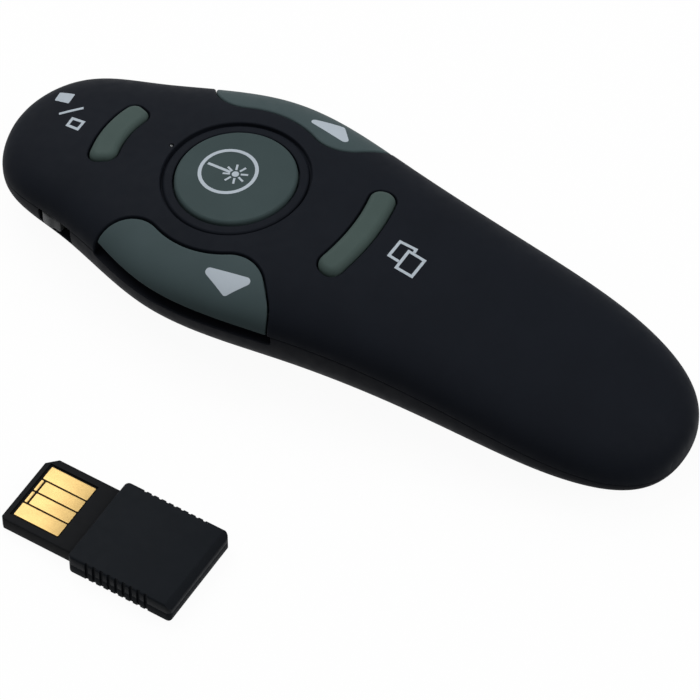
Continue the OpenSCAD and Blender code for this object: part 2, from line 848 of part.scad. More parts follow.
module battery_cells() {
    front = bay_x + plate_t;
    translate([front + cell_l, -cell_y, cell_z]) rotate([0, -90, 0]) cell();
    translate([front + spring_l, cell_y, cell_z]) rotate([0, 90, 0]) cell();
}

// Conical coil of wire, its wide end on the plate
module coil_spring() {
    wire = 0.25;
    turns = 3;
    steps = 20;
    sides = 6;
    wide = 3.6;
    narrow = 2.2;
    count = turns * steps;
    loft([for (i = [0 : count]) let(a = 360 * i / steps, f = i / count, r = wide + (narrow - wide) * f)
        [for (j = [0 : sides - 1]) let(b = -360 * j / sides, q = r + wire * cos(b))
            [q * cos(a), q * sin(a), wire + (spring_l - 2 * wire) * f + wire * sin(b)]]]);
}

module battery_springs() {
    color([0.80, 0.80, 0.78]) {
        translate([bay_x + plate_t, cell_y, cell_z]) rotate([0, 90, 0]) coil_spring();
        translate([bay_x + bay_l - plate_t, -cell_y, cell_z]) rotate([0, -90, 0]) coil_spring();
    }
}

module battery_plates() {
    w = 8;
    h = 7;
    color([0.78, 0.78, 0.76]) {
        for (y = [-cell_y, cell_y])
            translate([bay_x, y - w / 2, cell_z - h / 2]) cube([plate_t, w, h]);
        translate([bay_x + bay_l - plate_t, -cell_y - w / 2, cell_z - h / 2])
            cube([plate_t, 2 * cell_y + w, h]);
    }
}

// Wires from the front plates over the bay wall to the main board
module battery_leads() {
    r = 0.35;
    top = board_top + 1 + r;
    for (y = [-cell_y, cell_y])
        color(y < 0 ? [0.70, 0.12, 0.10] : [0.08, 0.08, 0.09]) translate([0, y * 0.6, 0]) {
            translate([bay_x + plate_t / 2, 0, cell_z + 3.5]) cylinder(top - cell_z - 3.5, r, r);
            translate([bay_x + plate_t / 2, 0, top]) sphere(r, $fn = 24);
            translate([bay_x - 2.2, 0, top]) rotate([0, 90, 0])
                cylinder(2.2 + plate_t / 2, r, r);
            translate([bay_x - 2.2, 0, top]) sphere(r, $fn = 24);
            translate([bay_x - 2.2, 0, board_top]) cylinder(top - board_top, r, r);
        }
}

// ---- Fasteners ---------------------------------------------------------------------------

// Screw pointing up, its head's seat at z = 0
module screw(r, l, head_r, head_h) {
    color([0.60, 0.61, 0.62])
        difference() {
            union() {
                cylinder(l, r, r);
                translate([0, 0, -head_h]) cylinder(head_h, head_r, head_r);
            }
            for (a = [0, 90]) rotate(a)
                translate([-head_r * 0.55, -head_r * 0.12, -head_h - e])
                    cube([head_r * 1.1, head_r * 0.24, head_h * 0.55]);
        }
}

module case_screws() {
    for (p = case_spots)
        translate([p[0], p[1], case_seat_z])
            screw(case_screw_r, p[2], case_head_r - 0.1, 1.2);
}

module board_screws() {
    for (p = main_post_xy)
        translate([p[0], p[1], board_top]) mirror([0, 0, 1])
            screw(post_screw_r, post_screw_l, post_head_r, post_head_h);
    for (p = window_post_xy)
        translate([p[0], p[1], window_board_top - window_board_t])
            screw(post_screw_r, 2.2, post_head_r, post_head_h);
}

// ---- Receiver ------------------------------------------------------------------------------

module at_receiver() {
    translate([receiver_x, receiver_y, 0]) children();
}

// Outer block with gripped sides and a bevelled tail end
module receiver_block() {
    l = receiver_size[0];
    w = receiver_size[1];
    h = receiver_size[2];
    bevel = 1.0;
    difference() {
        intersection() {
            translate([l / 2, 0, 0]) linear_extrude(h) rounded_rect(l, w, receiver_corner_r);
            rotate([90, 0, 0]) linear_extrude(w + 2, center = true)
                polygon([
                    [0, 0.3], [0.3, 0], [l - 0.5, 0], [l, 0.5], [l, h - bevel],
                    [l - bevel, h], [0.3, h], [0, h - 0.3]
                ]);
        }
        for (i = [0 : grip_count - 1], side = [-1, 1])
            translate([grip_x + i * grip_pitch - 0.25, side * w / 2 - 0.3, -1])
                cube([0.5, 0.6, h + 2]);
    }
}

module receiver_hollow() {
    c = receiver_wall;
    translate([c, -receiver_size[1] / 2 + c + 0.3, c])
        cube([receiver_size[0] - 2 * c - 0.4, receiver_size[1] - 2 * c - 0.6, receiver_size[2] - 2 * c]);
    // Mouth for the tongue of the plug
    translate([-1, -plug_size[1] / 2 + 0.5, root_z])
        cube([1 + c + plug_root, plug_size[1] - 1, root_t]);
}

module receiver_upper_shell() {
    color([0.13, 0.14, 0.16])
        at_receiver() difference() {
            receiver_block();
            receiver_hollow();
            translate([-1, -20, -1]) cube([40, 40, receiver_split + 1]);
        }
}

module receiver_lower_shell() {
    color([0.12, 0.13, 0.15])
        at_receiver() difference() {
            receiver_block();
            receiver_hollow();
            translate([-1, -20, receiver_split]) cube([40, 40, 10]);
        }
}

// Plug carrier with a sunken window for the contacts
module receiver_plug() {
    l = plug_size[0];
    w = plug_size[1];
    t = plug_size[2];
    near_cut = 0.4;
    far_cut = 1.4;
    color([0.08, 0.08, 0.09])
        at_receiver() difference() {
            union() {
                translate([-l, 0, plug_z]) linear_extrude(t)
                    polygon([
                        [0, -w / 2 + near_cut], [near_cut, -w / 2], [l, -w / 2],
                        [l, w / 2], [far_cut, w / 2], [0, w / 2 - far_cut]
                    ]);
                translate([-e, -w / 2 + 0.5, root_z])
                    cube([receiver_wall + plug_root, w - 1, root_t]);
            }
            translate([-10.6, -4.9, plug_z + t - window_depth]) cube([7.6, 9.8, 1]);
        }
}

// Four contacts; the two inner ones are split near the tip
module receiver_contacts() {
    sides = [[-4.6, -2.3], [-2.1, -0.1], [0.1, 2.1], [2.3, 4.6]];
    whole = [[-10.2, -3.2]];
    split = [[-10.2, -9.75], [-9.5, -3.2]];
    color([0.85, 0.68, 0.35])
        at_receiver()
            for (i = [0 : 3], span = i == 0 || i == 3 ? whole : split)
                translate([span[0], sides[i][0], plug_z + plug_size[2] - window_depth])
                    cube([span[1] - span[0], sides[i][1] - sides[i][0], 0.18]);
}

module receiver_board() {
    color([0.05, 0.30, 0.18])
        at_receiver()
            translate([receiver_wall + 1.6, -5.6, receiver_board_z])
                cube([receiver_size[0] - 2 * receiver_wall - 2.4, 11.2, receiver_board_t]);
}

module receiver_chip() {
    at_receiver() translate([6.6, -1.2, receiver_part_z]) chip([4, 4, 0.7], 5, 0.65);
}

module receiver_crystal() {
    color([0.80, 0.80, 0.78])
        at_receiver() translate([10.2, 0.6, receiver_part_z]) cube([3.2, 2.5, 0.7]);
}

// ---- Assembly ---------------------------------------------------------------------------------

top_shell();
bottom_shell();
battery_cover();
laser_bezel();
laser_button();
near_page_button();
far_page_button();
black_screen_button();
window_button();
power_switch_knob();
power_switch_body();
status_light_pipe();
status_led();
main_board();
window_board();
ribbon_cable();
switch_bodies();
switch_covers();
plunger(laser_switch);  // laser_plunger
plunger(near_switch);  // near_page_plunger
plunger(far_switch);  // far_page_plunger
plunger(black_switch);  // black_screen_plunger
plunger(window_switch);  // window_plunger
radio_chip();
crystal();
laser_driver();
passives();
board_antenna();
laser_barrel();
laser_lens();
laser_diode();
laser_leads();
battery_cells();
battery_springs();
battery_plates();
battery_leads();
case_screws();
board_screws();
receiver_upper_shell();
receiver_lower_shell();
receiver_plug();
receiver_contacts();
receiver_board();
receiver_chip();
receiver_crystal();
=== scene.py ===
import json
import math

import bmesh
import bpy
import numpy as np
from mathutils import Matrix, Vector
from mathutils.geometry import tessellate_polygon


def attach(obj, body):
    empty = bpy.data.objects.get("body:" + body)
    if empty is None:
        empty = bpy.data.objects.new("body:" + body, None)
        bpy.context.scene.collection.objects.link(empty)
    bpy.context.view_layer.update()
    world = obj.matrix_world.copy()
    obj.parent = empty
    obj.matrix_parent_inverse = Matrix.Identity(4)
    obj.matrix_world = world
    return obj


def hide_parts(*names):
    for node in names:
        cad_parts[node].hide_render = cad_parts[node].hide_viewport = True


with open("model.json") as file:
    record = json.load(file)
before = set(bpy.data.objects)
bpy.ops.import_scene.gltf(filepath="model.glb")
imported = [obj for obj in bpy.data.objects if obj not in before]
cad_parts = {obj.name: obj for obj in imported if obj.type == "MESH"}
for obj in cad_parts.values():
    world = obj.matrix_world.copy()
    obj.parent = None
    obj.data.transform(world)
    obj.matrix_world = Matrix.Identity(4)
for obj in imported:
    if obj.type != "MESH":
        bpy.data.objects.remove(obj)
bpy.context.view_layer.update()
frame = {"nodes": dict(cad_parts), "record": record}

MM = 0.001
scene = bpy.context.scene

# ---- Sizes in millimetres, as in the part's source ----

HALF_L = 53.0
NOSE_TIP_R, TAIL_TIP_R = 17.7, 19.8
WIDTHS = [19.5, 27.6, 37.9, 34.1, 29.6, 26.9, 18.6]
PART_H = (5.95, 10.9, 3.0)
CROWN_H = (6.5, 6.7, 7.85)
BELLY_FLAT = 0.3
WALL = 1.5
CROWN_N, BELLY_N = 2.4, 2.56
CROWN_END_N, BELLY_END_N = 0.483, 0.307
KNOTS = 8

LASER_X, LASER_R = -17.3, 8.4
LASER_TOP = -0.05
RING_R, RING_DEPTH = 10.3, 0.35
# Radius and inset of the sunken ring's floor, out to the groove at its rim
RING_FLOOR = [
    (1, 0.35), (5, 0.35), (8.3, 0.35), (8.62, 0.35), (8.9, 0.325), (9.3, 0.315), (9.65, 0.34), (9.85, 0.42),
    (9.93, 0.55), (9.97, 0.72), (10.05, 0.8), (10.2, 0.8), (10.27, 0.72), (10.3, 0.55),
]
# Distance from the laser key, bend radius, half length and corner radius of the bent keys
FRONT_ARC, FRONT_W = (19.45, 14.0, 5.5, 1.5), 4.0
REAR_ARC, REAR_W = (19.95, 28.0, 8.2, 1.65), 3.6
ARC_RISE = 0.55
KEY_GAP = 0.22
PAGE_X = (-29.6, -1.35)
PAGE_CORNER_R, PAGE_SCOOP_R = 5.2, 13.2
PAGE_POLYGON = [(-29.6, -27), (-29.6, -9), (-8.2, -9), (-1.8, -16.25), (-1.35, -27)]
PAGE_EDGE_H = (11.45, 11.3, 10.85)
PAGE_INSET = 0.05
PAGE_NOTCH_Z = 9.2
LIP_INSETS, LIP_RISE = (2.1, 2.6), (0.2, 1.5)
# The far key's shift from the near one's mirror image
FAR_SHIFT = np.array([-1.0, -0.3])
FLANGE, FLANGE_TOP, FLANGE_FLOOR = 0.9, 1.92, 2.37
CAP_FLOOR = 1.5
STEM_R = 1.1
# x, y and the foot's height of each key's stem
LASER_STEM = (-22.4, 0, 12.1)
NEAR_STEM = (-22.4, -12.5, 12.1)
FAR_STEM = (-22.9, -12.5, 12.1)
BLACK_STEM = (-36.7, 0, 12.1)
WINDOW_STEM = (2.8, 0, 15.6)

CASE_SPOTS = [(-31.5, -9.5, 10), (-31.5, 9.5, 10), (42.5, 0, 7.2)]
CASE_BOSS_R, CASE_SEAT_Z = 2.4, 2.8
MAIN_POSTS = [(-42, -5.6), (-42, 5.6), (-25.5, -7.5), (-25.5, 7.5)]
WINDOW_POSTS = [(-3.6, 0), (8.6, 0)]
BOARD_UNDERSIDE = 8.8
BAY_X = (-18.1, 31.3)
COVER_X, COVER_W, COVER_R, COVER_T, COVER_GAP = (-17.8, 33.5), 22.8, 3.0, 1.2, 0.25
LASER_Z, BEZEL_R, BEZEL_X = 5.6, 2.3, (-52.3, -48.4)
BEZEL_GAP, BEZEL_BORE_R, BEZEL_ROUND = 0.05, 1.3, 0.35
KNOB_X, KNOB_Y, KNOB_Z = -39.1, -13.4, (5.9, 7.9)
SLOT_X = (-41.3, -35.0)
LED_XY, PIPE_R = (-28.2, 0.8), 0.3
RECEIVER_X, RECEIVER_Y = -7.55, -49.67
RECEIVER = (16.05, 14.4, 3.4)
RECEIVER_WALL = 0.8
RECEIVER_SPLIT = 1.7
RECEIVER_CORNER_R, GRIP_GROOVES = 0.7, 9
PLUG = (11.35, 12.0, 2.2)
PLUG_Z = 0.2
# Depth of the window over the contacts, and the contacts' thickness
CONTACT_DEPTH, CONTACT_T = 0.3, 0.18
ROOT_Z, ROOT_T, ROOT_L = 0.8, 1.3, 1.5

# Post, pilot hole, thread and clearance hole of the screws, and the seat of the case screws' heads
POST_R, PILOT_R, THREAD_R, CLEAR_R, SEAT_R = 1.6, 0.7, 1.0, 1.1, 2.0
WINDOW_POST_Z, WINDOW_PILOT_Z, MAIN_PILOT_Z = (13.9, 20), (12, 15.6), (6.2, 9.5)
# Radius and ends of the laser barrel's seat, where its cradles stand, and the cradles' half width
BARREL_R, BARREL_X, CRADLE_X, CRADLE_HALF_W = 3.02, (-48, -36), (-47, -40), 5
BAY_HALF_W, RIB_T = 14, 1
# Heights of the walls at the front and rear of the battery bay
BAY_FRONT_Z, BAY_REAR_Z = (-1, 10.3), (5, 10.4)
# How far out the page keys' notches start, and the depth over which the switch slot is cut
NOTCH_Y, SLOT_Y = 14.5, (-18, -10)
PIPE_GAP, SLOT_BELOW = 0.05, 0.3
# Tools that cut the body start below it and end above it or outside it
UNDER, OVER, OUTSIDE = -1, 22, 25
# Radii of the rounded edges: usual, fine, at an opening of the crown, and at a page key's opening
EDGE, FINE_EDGE, HOLE_EDGE, PAGE_HOLE_EDGE = 0.2, 0.15, 0.22, 0.28
PAGE_KEY_EDGES = (0.3, 0.25)
LASER_KEY_EDGE, ARC_KEY_EDGE = 0.5, 1.0

# ---- The body's surface ----


def through(v, u):
    """Smooth curve through three values, at u = -1, 0 and 1."""
    return v[1] + (v[2] - v[0]) / 2 * u + ((v[0] + v[2]) / 2 - v[1]) * u * u


knot_spread = [math.sqrt(NOSE_TIP_R * HALF_L)]
knot_spread += [w / 2 / math.sin(math.pi * (k + 1) / KNOTS) for k, w in enumerate(WIDTHS)]
knot_spread += [math.sqrt(TAIL_TIP_R * HALF_L)]
bend = list(knot_spread)
for _ in range(40):
    bend = [
        knot_spread[i] if i in (0, KNOTS) else (6 * knot_spread[i] - bend[i - 1] - bend[i + 1]) / 4
        for i in range(KNOTS + 1)
    ]
control = np.array([2 * bend[0] - bend[1], *bend, 2 * bend[KNOTS] - bend[KNOTS - 1]])


def spread(t):
    """Half width over the sine of the station's angle, from a cubic spline through the knots."""
    u = np.clip(np.asarray(t, float) * KNOTS, 0, KNOTS - 1e-9)
    i = np.floor(u).astype(int)
    f = u - i
    return (
        (1 - f) ** 3 * control[i]
        + (3 * f**3 - 6 * f**2 + 4) * control[i + 1]
        + (-3 * f**3 + 3 * f**2 + 3 * f + 1) * control[i + 2]
        + f**3 * control[i + 3]
    ) / 6


def station(x, inset=0.0):
    """Place along the body, from 0 at the nose to 1 at the tail."""
    return np.arccos(np.clip(-np.asarray(x, float) / (HALF_L - inset), -1, 1)) / math.pi


def half_w(t, inset=0.0):
    """Half the body's width at a station."""
    return np.sin(math.pi * t) * (spread(t) - inset)


def level(t):
    """Height of the parting line at a station."""
    return through(PART_H, -np.cos(math.pi * t))


def rise(t, inset=0.0):
    """Height of the crown over the parting line."""
    return (through(CROWN_H, -np.cos(math.pi * t)) - inset) * np.sin(math.pi * t) ** CROWN_END_N


def drop(t, inset=0.0):
    """Depth of the belly below the parting line, before the flat strip."""
    u = -np.cos(math.pi * t)
    return (level(t) + BELLY_FLAT - inset) * (1 - u**6) ** BELLY_END_N


def section(t, over, inset=0.0):
    """Exponent and height of the section at a station, of the crown where over is true, else of the belly."""
    return np.where(over, CROWN_N, BELLY_N), np.where(over, rise(t, inset), drop(t, inset))


def skin(t, a, inset=0.0):
    """Points of the surface at stations t and section angles a, in radians from +Y over the crown."""
    t, a = np.broadcast_arrays(np.asarray(t, float), np.asarray(a, float))
    n, h = section(t, np.sin(a) >= 0, inset)
    y = half_w(t, inset) * np.sign(np.cos(a)) * np.abs(np.cos(a)) ** (2 / n)
    z = level(t) + h * np.sign(np.sin(a)) * np.abs(np.sin(a)) ** (2 / n)
    x = -(HALF_L - inset) * np.cos(math.pi * t)
    return np.stack([x, y, np.maximum(z, max(inset, 0))], -1)


def crown_z(x, y, inset=0.0):
    t = station(x, inset)
    r = np.clip(np.abs(y) / half_w(t, inset), 0, 1)
    return level(t) + rise(t, inset) * (1 - r**CROWN_N) ** (1 / CROWN_N)


def belly_z(x, y):
    t = station(x)
    r = np.clip(np.abs(y) / half_w(t), 0, 1)
    return np.maximum(level(t) - drop(t) * (1 - r**BELLY_N) ** (1 / BELLY_N), 0)


def width_at(x, z, inset=0.0):
    """Half width of the surface at a height."""
    t = station(x, inset)
    n, h = section(t, z >= level(t), inset)
    return half_w(t, inset) * (1 - np.clip(np.abs((z - level(t)) / h), 0, 1) ** n) ** (1 / n)


def fullness(p, inset=0.0):
    """1 on the surface at that inset, less inside it and more outside."""
    x, y, z = p[:, 0], p[:, 1], p[:, 2]
    t = np.clip(station(x, inset), 1e-5, 1 - 1e-5)
    n, h = section(t, z >= level(t), inset)
    w, h = np.maximum(half_w(t, inset), 1e-6), np.maximum(h, 1e-6)
    return (np.abs(y) / w) ** n + (np.abs(z - level(t)) / h) ** n


def skin_normals(p, inset=0.0):
    """Outward unit normals at points near the surface, and their distances from it."""
    step = 1e-4
    g = np.stack(
        [(fullness(p + step * e, inset) - fullness(p - step * e, inset)) / (2 * step) for e in np.eye(3)], -1
    )
    size = np.maximum(np.linalg.norm(g, axis=1), 1e-9)
    away = np.abs(fullness(p, inset) - 1) / size
    n = g / size[:, None]
    flat = p[:, 2] < max(inset, 0) + 2e-3
    n[flat] = (0, 0, -1)
    away[flat] = 0
    return n, away


# ---- Mesh tools ----


def unit(v):
    return v / np.linalg.norm(v, axis=-1, keepdims=True)


def left(v):
    """Plan vectors turned a quarter anticlockwise."""
    return np.stack([-v[:, 1], v[:, 0]], -1)


def neighbours(p, closed=True):
    """The points before and after each one; the ends of an open line stand in for what they lack."""
    before, after = np.roll(p, 1, 0), np.roll(p, -1, 0)
    if not closed:
        before[0], after[-1] = p[0], p[-1]
    return before, after


def crossing(inside, lo, hi):
    """The last value that is still inside on the way from lo to hi, by halving."""
    for _ in range(50):
        mid = (lo + hi) / 2
        stay = inside(mid)
        lo, hi = np.where(stay, mid, lo), np.where(stay, hi, mid)
    return lo


def solid(name, verts, faces):
    """Linked object from points in millimetres, its faces turned outwards."""
    mesh = bpy.data.meshes.new(name)
    mesh.from_pydata([tuple(map(float, v)) for v in verts], [], [tuple(map(int, f)) for f in faces])
    bm = bmesh.new()
    bm.from_mesh(mesh)
    bmesh.ops.recalc_face_normals(bm, faces=bm.faces)
    bm.to_mesh(mesh)
    bm.free()
    obj = bpy.data.objects.new(name, mesh)
    scene.collection.objects.link(obj)
    return obj


def bands(n, m, closed=False):
    """Faces between n rings of m points."""
    pairs = [(i * m, (i + 1) % n * m) for i in range(n if closed else n - 1)]
    return [(a + j, a + (j + 1) % m, b + (j + 1) % m, b + j) for a, b in pairs for j in range(m)]


def loft(name, rings, closed=False, strips=False):
    """Solid through rings of equal length; strips closes rings that run out and back."""
    rings = np.asarray(rings, float)
    n, m = rings.shape[:2]
    faces = bands(n, m, closed)
    if not closed:
        for base in (0, (n - 1) * m):
            if strips:
                pairs = [(base + j, base + m - 1 - j) for j in range(m // 2)]
                faces += [(a, c, d, b) for (a, b), (c, d) in zip(pairs, pairs[1:])]
            else:
                faces.append(tuple(range(base, base + m)))
    return solid(name, rings.reshape(-1, 3), faces)


def terrace(name, loops):
    """Solid through nested plan loops that carry their own heights; both ends are closed across."""
    rings = np.asarray(loops, float)
    n, m = rings.shape[:2]
    faces = bands(n, m)
    for base, ring in ((0, rings[0]), ((n - 1) * m, rings[-1])):
        tris = tessellate_polygon([[Vector((x, y, 0)) for x, y, _ in ring]])
        faces += [tuple(base + i for i in t) for t in tris]
    return solid(name, rings.reshape(-1, 3), faces)


def combine(obj, operation, tools):
    """The object after it is cut, met or joined by each tool in turn. The tools are used up."""
    for tool in tools:
        mod = obj.modifiers.new("step", "BOOLEAN")
        mod.operation = operation
        mod.solver = "MANIFOLD"
        mod.object = tool
    graph = bpy.context.evaluated_depsgraph_get()
    made = bpy.data.meshes.new_from_object(obj.evaluated_get(graph))
    obj.modifiers.clear()
    old = obj.data
    obj.data = made
    bpy.data.meshes.remove(old)
    for tool in tools:
        bpy.data.objects.remove(tool)
    return obj


def cut(obj, *tools):
    return combine(obj, "DIFFERENCE", tools)


def meet(obj, *tools):
    return combine(obj, "INTERSECT", tools)


def join(obj, *tools):
    return combine(obj, "UNION", tools)


def flipped(points):
    return np.asarray(points, float) * (1, -1, 1)


def shrunk(outline, d):
    """Closed anticlockwise outline moved in by d."""
    p = np.asarray(outline, float)
    before, after = neighbours(p)
    nu, nv = left(unit(p - before)), left(unit(after - p))
    m = nu + nv
    return p + m * (d / np.sum(m * nu, 1))[:, None]


def column(name, outline, ends, place):
    """Solid between two copies of an outline; place turns a point of it and an end into x, y and z."""
    n = len(outline)
    tris = tessellate_polygon([[Vector((*point, 0)) for point in outline]])
    verts = [place(*point, end) for end in ends for point in outline]
    faces = [(i, (i + 1) % n, n + (i + 1) % n, n + i) for i in range(n)]
    faces += [tuple(t) for t in tris] + [tuple(n + i for i in t) for t in tris]
    return solid(name, verts, faces)


def prism(name, outline, z0, z1, mirror=False):
    """Upright column over a plan outline."""
    outline = np.asarray(outline, float) * (1, -1 if mirror else 1)
    return column(name, outline, (z0, z1), lambda x, y, z: (x, y, z))


def side_prism(name, outline_xz, y0, y1):
    """Column along Y over an outline in X and Z."""
    return column(name, outline_xz, (y0, y1), lambda x, z, y: (x, y, z))


def circle(cx, cy, r, n):
    a = np.arange(n) * 2 * math.pi / n
    return np.stack([cx + r * np.cos(a), cy + r * np.sin(a)], -1)


def cylinder(name, x, y, r, z0, z1, n=64):
    return prism(name, circle(x, y, r, n), z0, z1)


def box(name, x, y, z):
    return prism(name, [(x[0], y[0]), (x[1], y[0]), (x[1], y[1]), (x[0], y[1])], z[0], z[1])


def at_height(xy, z):
    return np.column_stack([xy, np.full(len(xy), z)])


def rounding(r, steps=4):
    """(inward, down) pairs of a rounded edge, from the wall to the top."""
    return [
        (r * (1 - math.cos(q)), r * (1 - math.sin(q)))
        for q in (math.pi / 2 * k / steps for k in range(steps + 1))
    ]


def block(name, outline, z0, z1, r, steps):
    """Upright block over a plan outline, its upper and lower rims rounded."""
    pairs = rounding(r, steps)
    loops = [at_height(shrunk(outline, d), z0 + s) for d, s in pairs[::-1]]
    loops += [at_height(shrunk(outline, d), z1 - s) for d, s in pairs]
    return terrace(name, loops)


def edge_tool(name, p, normals, hole, r, wall_dir=(0, 0, -1), closed=True, mirror=False):
    """Sweep that rounds the edge between the surface and a wall. p runs anticlockwise seen from outside."""
    steps, margin, least = 4, 0.12, 2e-2
    p, normals = np.asarray(p, float), np.asarray(normals, float)
    before, after = neighbours(p, closed)
    tangent = unit(after - before)
    s = unit(np.cross(normals, tangent) * (-1 if hole else 1))
    d = np.asarray(wall_dir, float)
    w = d - (tangent @ d)[:, None] * tangent
    size = np.linalg.norm(w, axis=1)
    good = np.flatnonzero(size > least)
    for i in np.flatnonzero(size <= least):
        w[i] = w[good[np.argmin(np.abs(good - i))]]
        w[i] -= (w[i] @ tangent[i]) * tangent[i]
    w = unit(w)
    half = np.arccos(np.clip(np.sum(s * w, 1), -0.95, 0.95)) / 2
    reach = (r / np.tan(half))[:, None]
    c = unit(s + w)
    centre = p + c * (r / np.sin(half))[:, None]
    first, last = (p + s * reach - centre) / r, (p + w * reach - centre) / r
    angle = np.arccos(np.clip(np.sum(first * last, 1), -1, 1))[:, None]
    arc = [
        centre + r * (np.sin((1 - f) * angle) * first + np.sin(f * angle) * last) / np.sin(angle)
        for f in (k / steps for k in range(steps + 1))
    ]
    out = c * (reach * np.cos(half)[:, None] + margin)
    rings = np.stack(arc + [arc[-1] - out, arc[0] - out], 1)
    if mirror:
        rings = flipped(rings)
    return loft(name, rings, closed=closed)


def clean(obj, sharp=38):
    """Merged points and smooth shading, with sharp edges above an angle in degrees."""
    nearest = 2e-4
    mesh = obj.data
    bm = bmesh.new()
    bm.from_mesh(mesh)
    bmesh.ops.remove_doubles(bm, verts=bm.verts, dist=nearest)
    bmesh.ops.dissolve_degenerate(bm, edges=bm.edges, dist=nearest)
    bmesh.ops.triangulate(bm, faces=[f for f in bm.faces if len(f.verts) > 4])
    bm.to_mesh(mesh)
    bm.free()
    mesh.polygons.foreach_set("use_smooth", [True] * len(mesh.polygons))
    mesh.set_sharp_from_angle(angle=math.radians(sharp))
    mesh.update()
    return obj


def read(items, key, columns=1, kind=np.float32):
    """One property of every item of a mesh, as an array."""
    out = np.zeros(len(items) * columns, kind)
    items.foreach_get(key, out)
    return out.reshape(-1, columns).astype(float) if columns > 1 else out


def ease(obj, insets):
    """Gives corners that lie on the body's surface, at any of these insets, that surface's own normals."""
    tip, near, least = 0.15, 0.02, math.cos(math.radians(14))
    mesh = obj.data
    co = read(mesh.vertices, "co", 3)
    corner = read(mesh.corner_normals, "vector", 3)
    vert_of = read(mesh.loops, "vertex_index", kind=int)
    face_n = read(mesh.polygons, "normal", 3)
    loop_face = np.repeat(np.arange(len(mesh.polygons)), read(mesh.polygons, "loop_total", kind=int))
    inner = np.abs(co[:, 0]) < HALF_L - tip
    for inset in insets:
        n, away = skin_normals(co, inset)
        on = (away < near) & inner
        facing = np.sum(n[vert_of] * face_n[loop_face], 1)
        use = on[vert_of] & (np.abs(facing) > least)
        corner[use] = n[vert_of][use] * np.sign(facing[use])[:, None]
    mesh.normals_split_custom_set(corner.tolist())
    return obj


def mirrored(obj):
    """The object on the other side of the body, its corner normals included."""
    mesh = obj.data
    corner = flipped(read(mesh.corner_normals, "vector", 3))
    vert_of = read(mesh.loops, "vertex_index", kind=int)
    starts, totals = (read(mesh.polygons, key, kind=int) for key in ("loop_start", "loop_total"))
    orders = [np.arange(s + n - 1, s - 1, -1) for s, n in zip(starts, totals)]
    faces = [tuple(int(v) for v in vert_of[order]) for order in orders]
    made = bpy.data.meshes.new(mesh.name + "_m")
    made.from_pydata(flipped(read(mesh.vertices, "co", 3)).tolist(), [], faces)
    made.polygons.foreach_set("use_smooth", [True] * len(faces))
    made.normals_split_custom_set(corner[np.concatenate(orders)].tolist())
    obj.data = made
    bpy.data.meshes.remove(mesh)
    return obj


def finished(obj, body, look, nodes=()):
    """Scales a piece to metres and hands it to the frame."""
    mesh = obj.data
    mesh.transform(Matrix.Scale(MM, 4))
    mesh.update()
    mesh.materials.clear()
    mesh.materials.append(look)
    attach(obj, body)
    if nodes:
        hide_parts(*nodes)


# ---- Outlines seen from above ----


def arc_points(c, r, a0, a1, n):
    a = np.linspace(a0, a1, n)
    return np.stack([c[0] + r * np.cos(a), c[1] + r * np.sin(a)], -1)


def rounded_box(x, y, r, n):
    """Plan outline of a box with rounded corners of n points, anticlockwise."""
    corners = [(x[1] - r, y[1] - r), (x[0] + r, y[1] - r), (x[0] + r, y[0] + r), (x[1] - r, y[0] + r)]
    turns = np.arange(5) * math.pi / 2
    return np.concatenate([arc_points(c, r, a0, a1, n) for c, a0, a1 in zip(corners, turns, turns[1:])])


def bent_pill(arc, width, side, grow):
    """Bent bar with rounded corners, anticlockwise; side is -1 ahead of the laser key and +1 behind it."""
    gap, r, half_l, corner = arc
    least = 0.05
    if corner + grow < least:
        half_l, width, corner, grow = half_l + grow, width + 2 * grow, least, 0.0
    half, q = half_l / r, corner + grow
    r_in, r_out = r - width / 2 + corner, r + width / 2 - corner
    a_in, a_out = half - math.asin(corner / r_in), half - math.asin(corner / r_out)
    quarter = math.pi / 2

    def at(d, a):
        return d * math.cos(a), d * math.sin(a)

    xy = np.concatenate([
        arc_points((0, 0), r + width / 2 + grow, -a_out, a_out, 36)[:-1],
        arc_points(at(r_out, a_out), q, a_out, half + quarter, 10),
        arc_points(at(r_in, a_in), q, half + quarter, a_in + math.pi, 10)[:-1],
        arc_points((0, 0), r - width / 2 - grow, a_in, -a_in, 36)[:-1],
        arc_points(at(r_in, -a_in), q, math.pi - a_in, 3 * quarter - half, 10),
        arc_points(at(r_out, -a_out), q, -half - quarter, -a_out, 10)[:-1],
    ])
    xy[:, 0] = LASER_X + side * (gap - r + xy[:, 0])
    return xy if side > 0 else xy[::-1]


def page_centres():
    """The scoop's centre, the polygon's outward normals and the centres of the page key's rounded corners."""
    r = PAGE_CORNER_R
    p = np.array(PAGE_POLYGON, float)
    d = unit(np.diff(p, axis=0))
    inside = -left(d)
    base = p[:-1] + r * inside
    scoop = np.array([LASER_X, 0.0])
    reach = PAGE_SCOOP_R + r

    def on_scoop(i):
        """Centre at the given distance from side i, touching the scoop on its near side."""
        foot = base[i] + (scoop - base[i]) @ d[i] * d[i]
        half = math.sqrt(reach**2 - np.sum((foot - scoop) ** 2))
        return min(foot - half * d[i], foot + half * d[i], key=lambda c: c[1])

    s = np.linalg.solve(np.stack([d[2], -d[3]], 1), base[3] - base[2])
    return scoop, -inside, [on_scoop(0), on_scoop(2), base[2] + s[0] * d[2]]


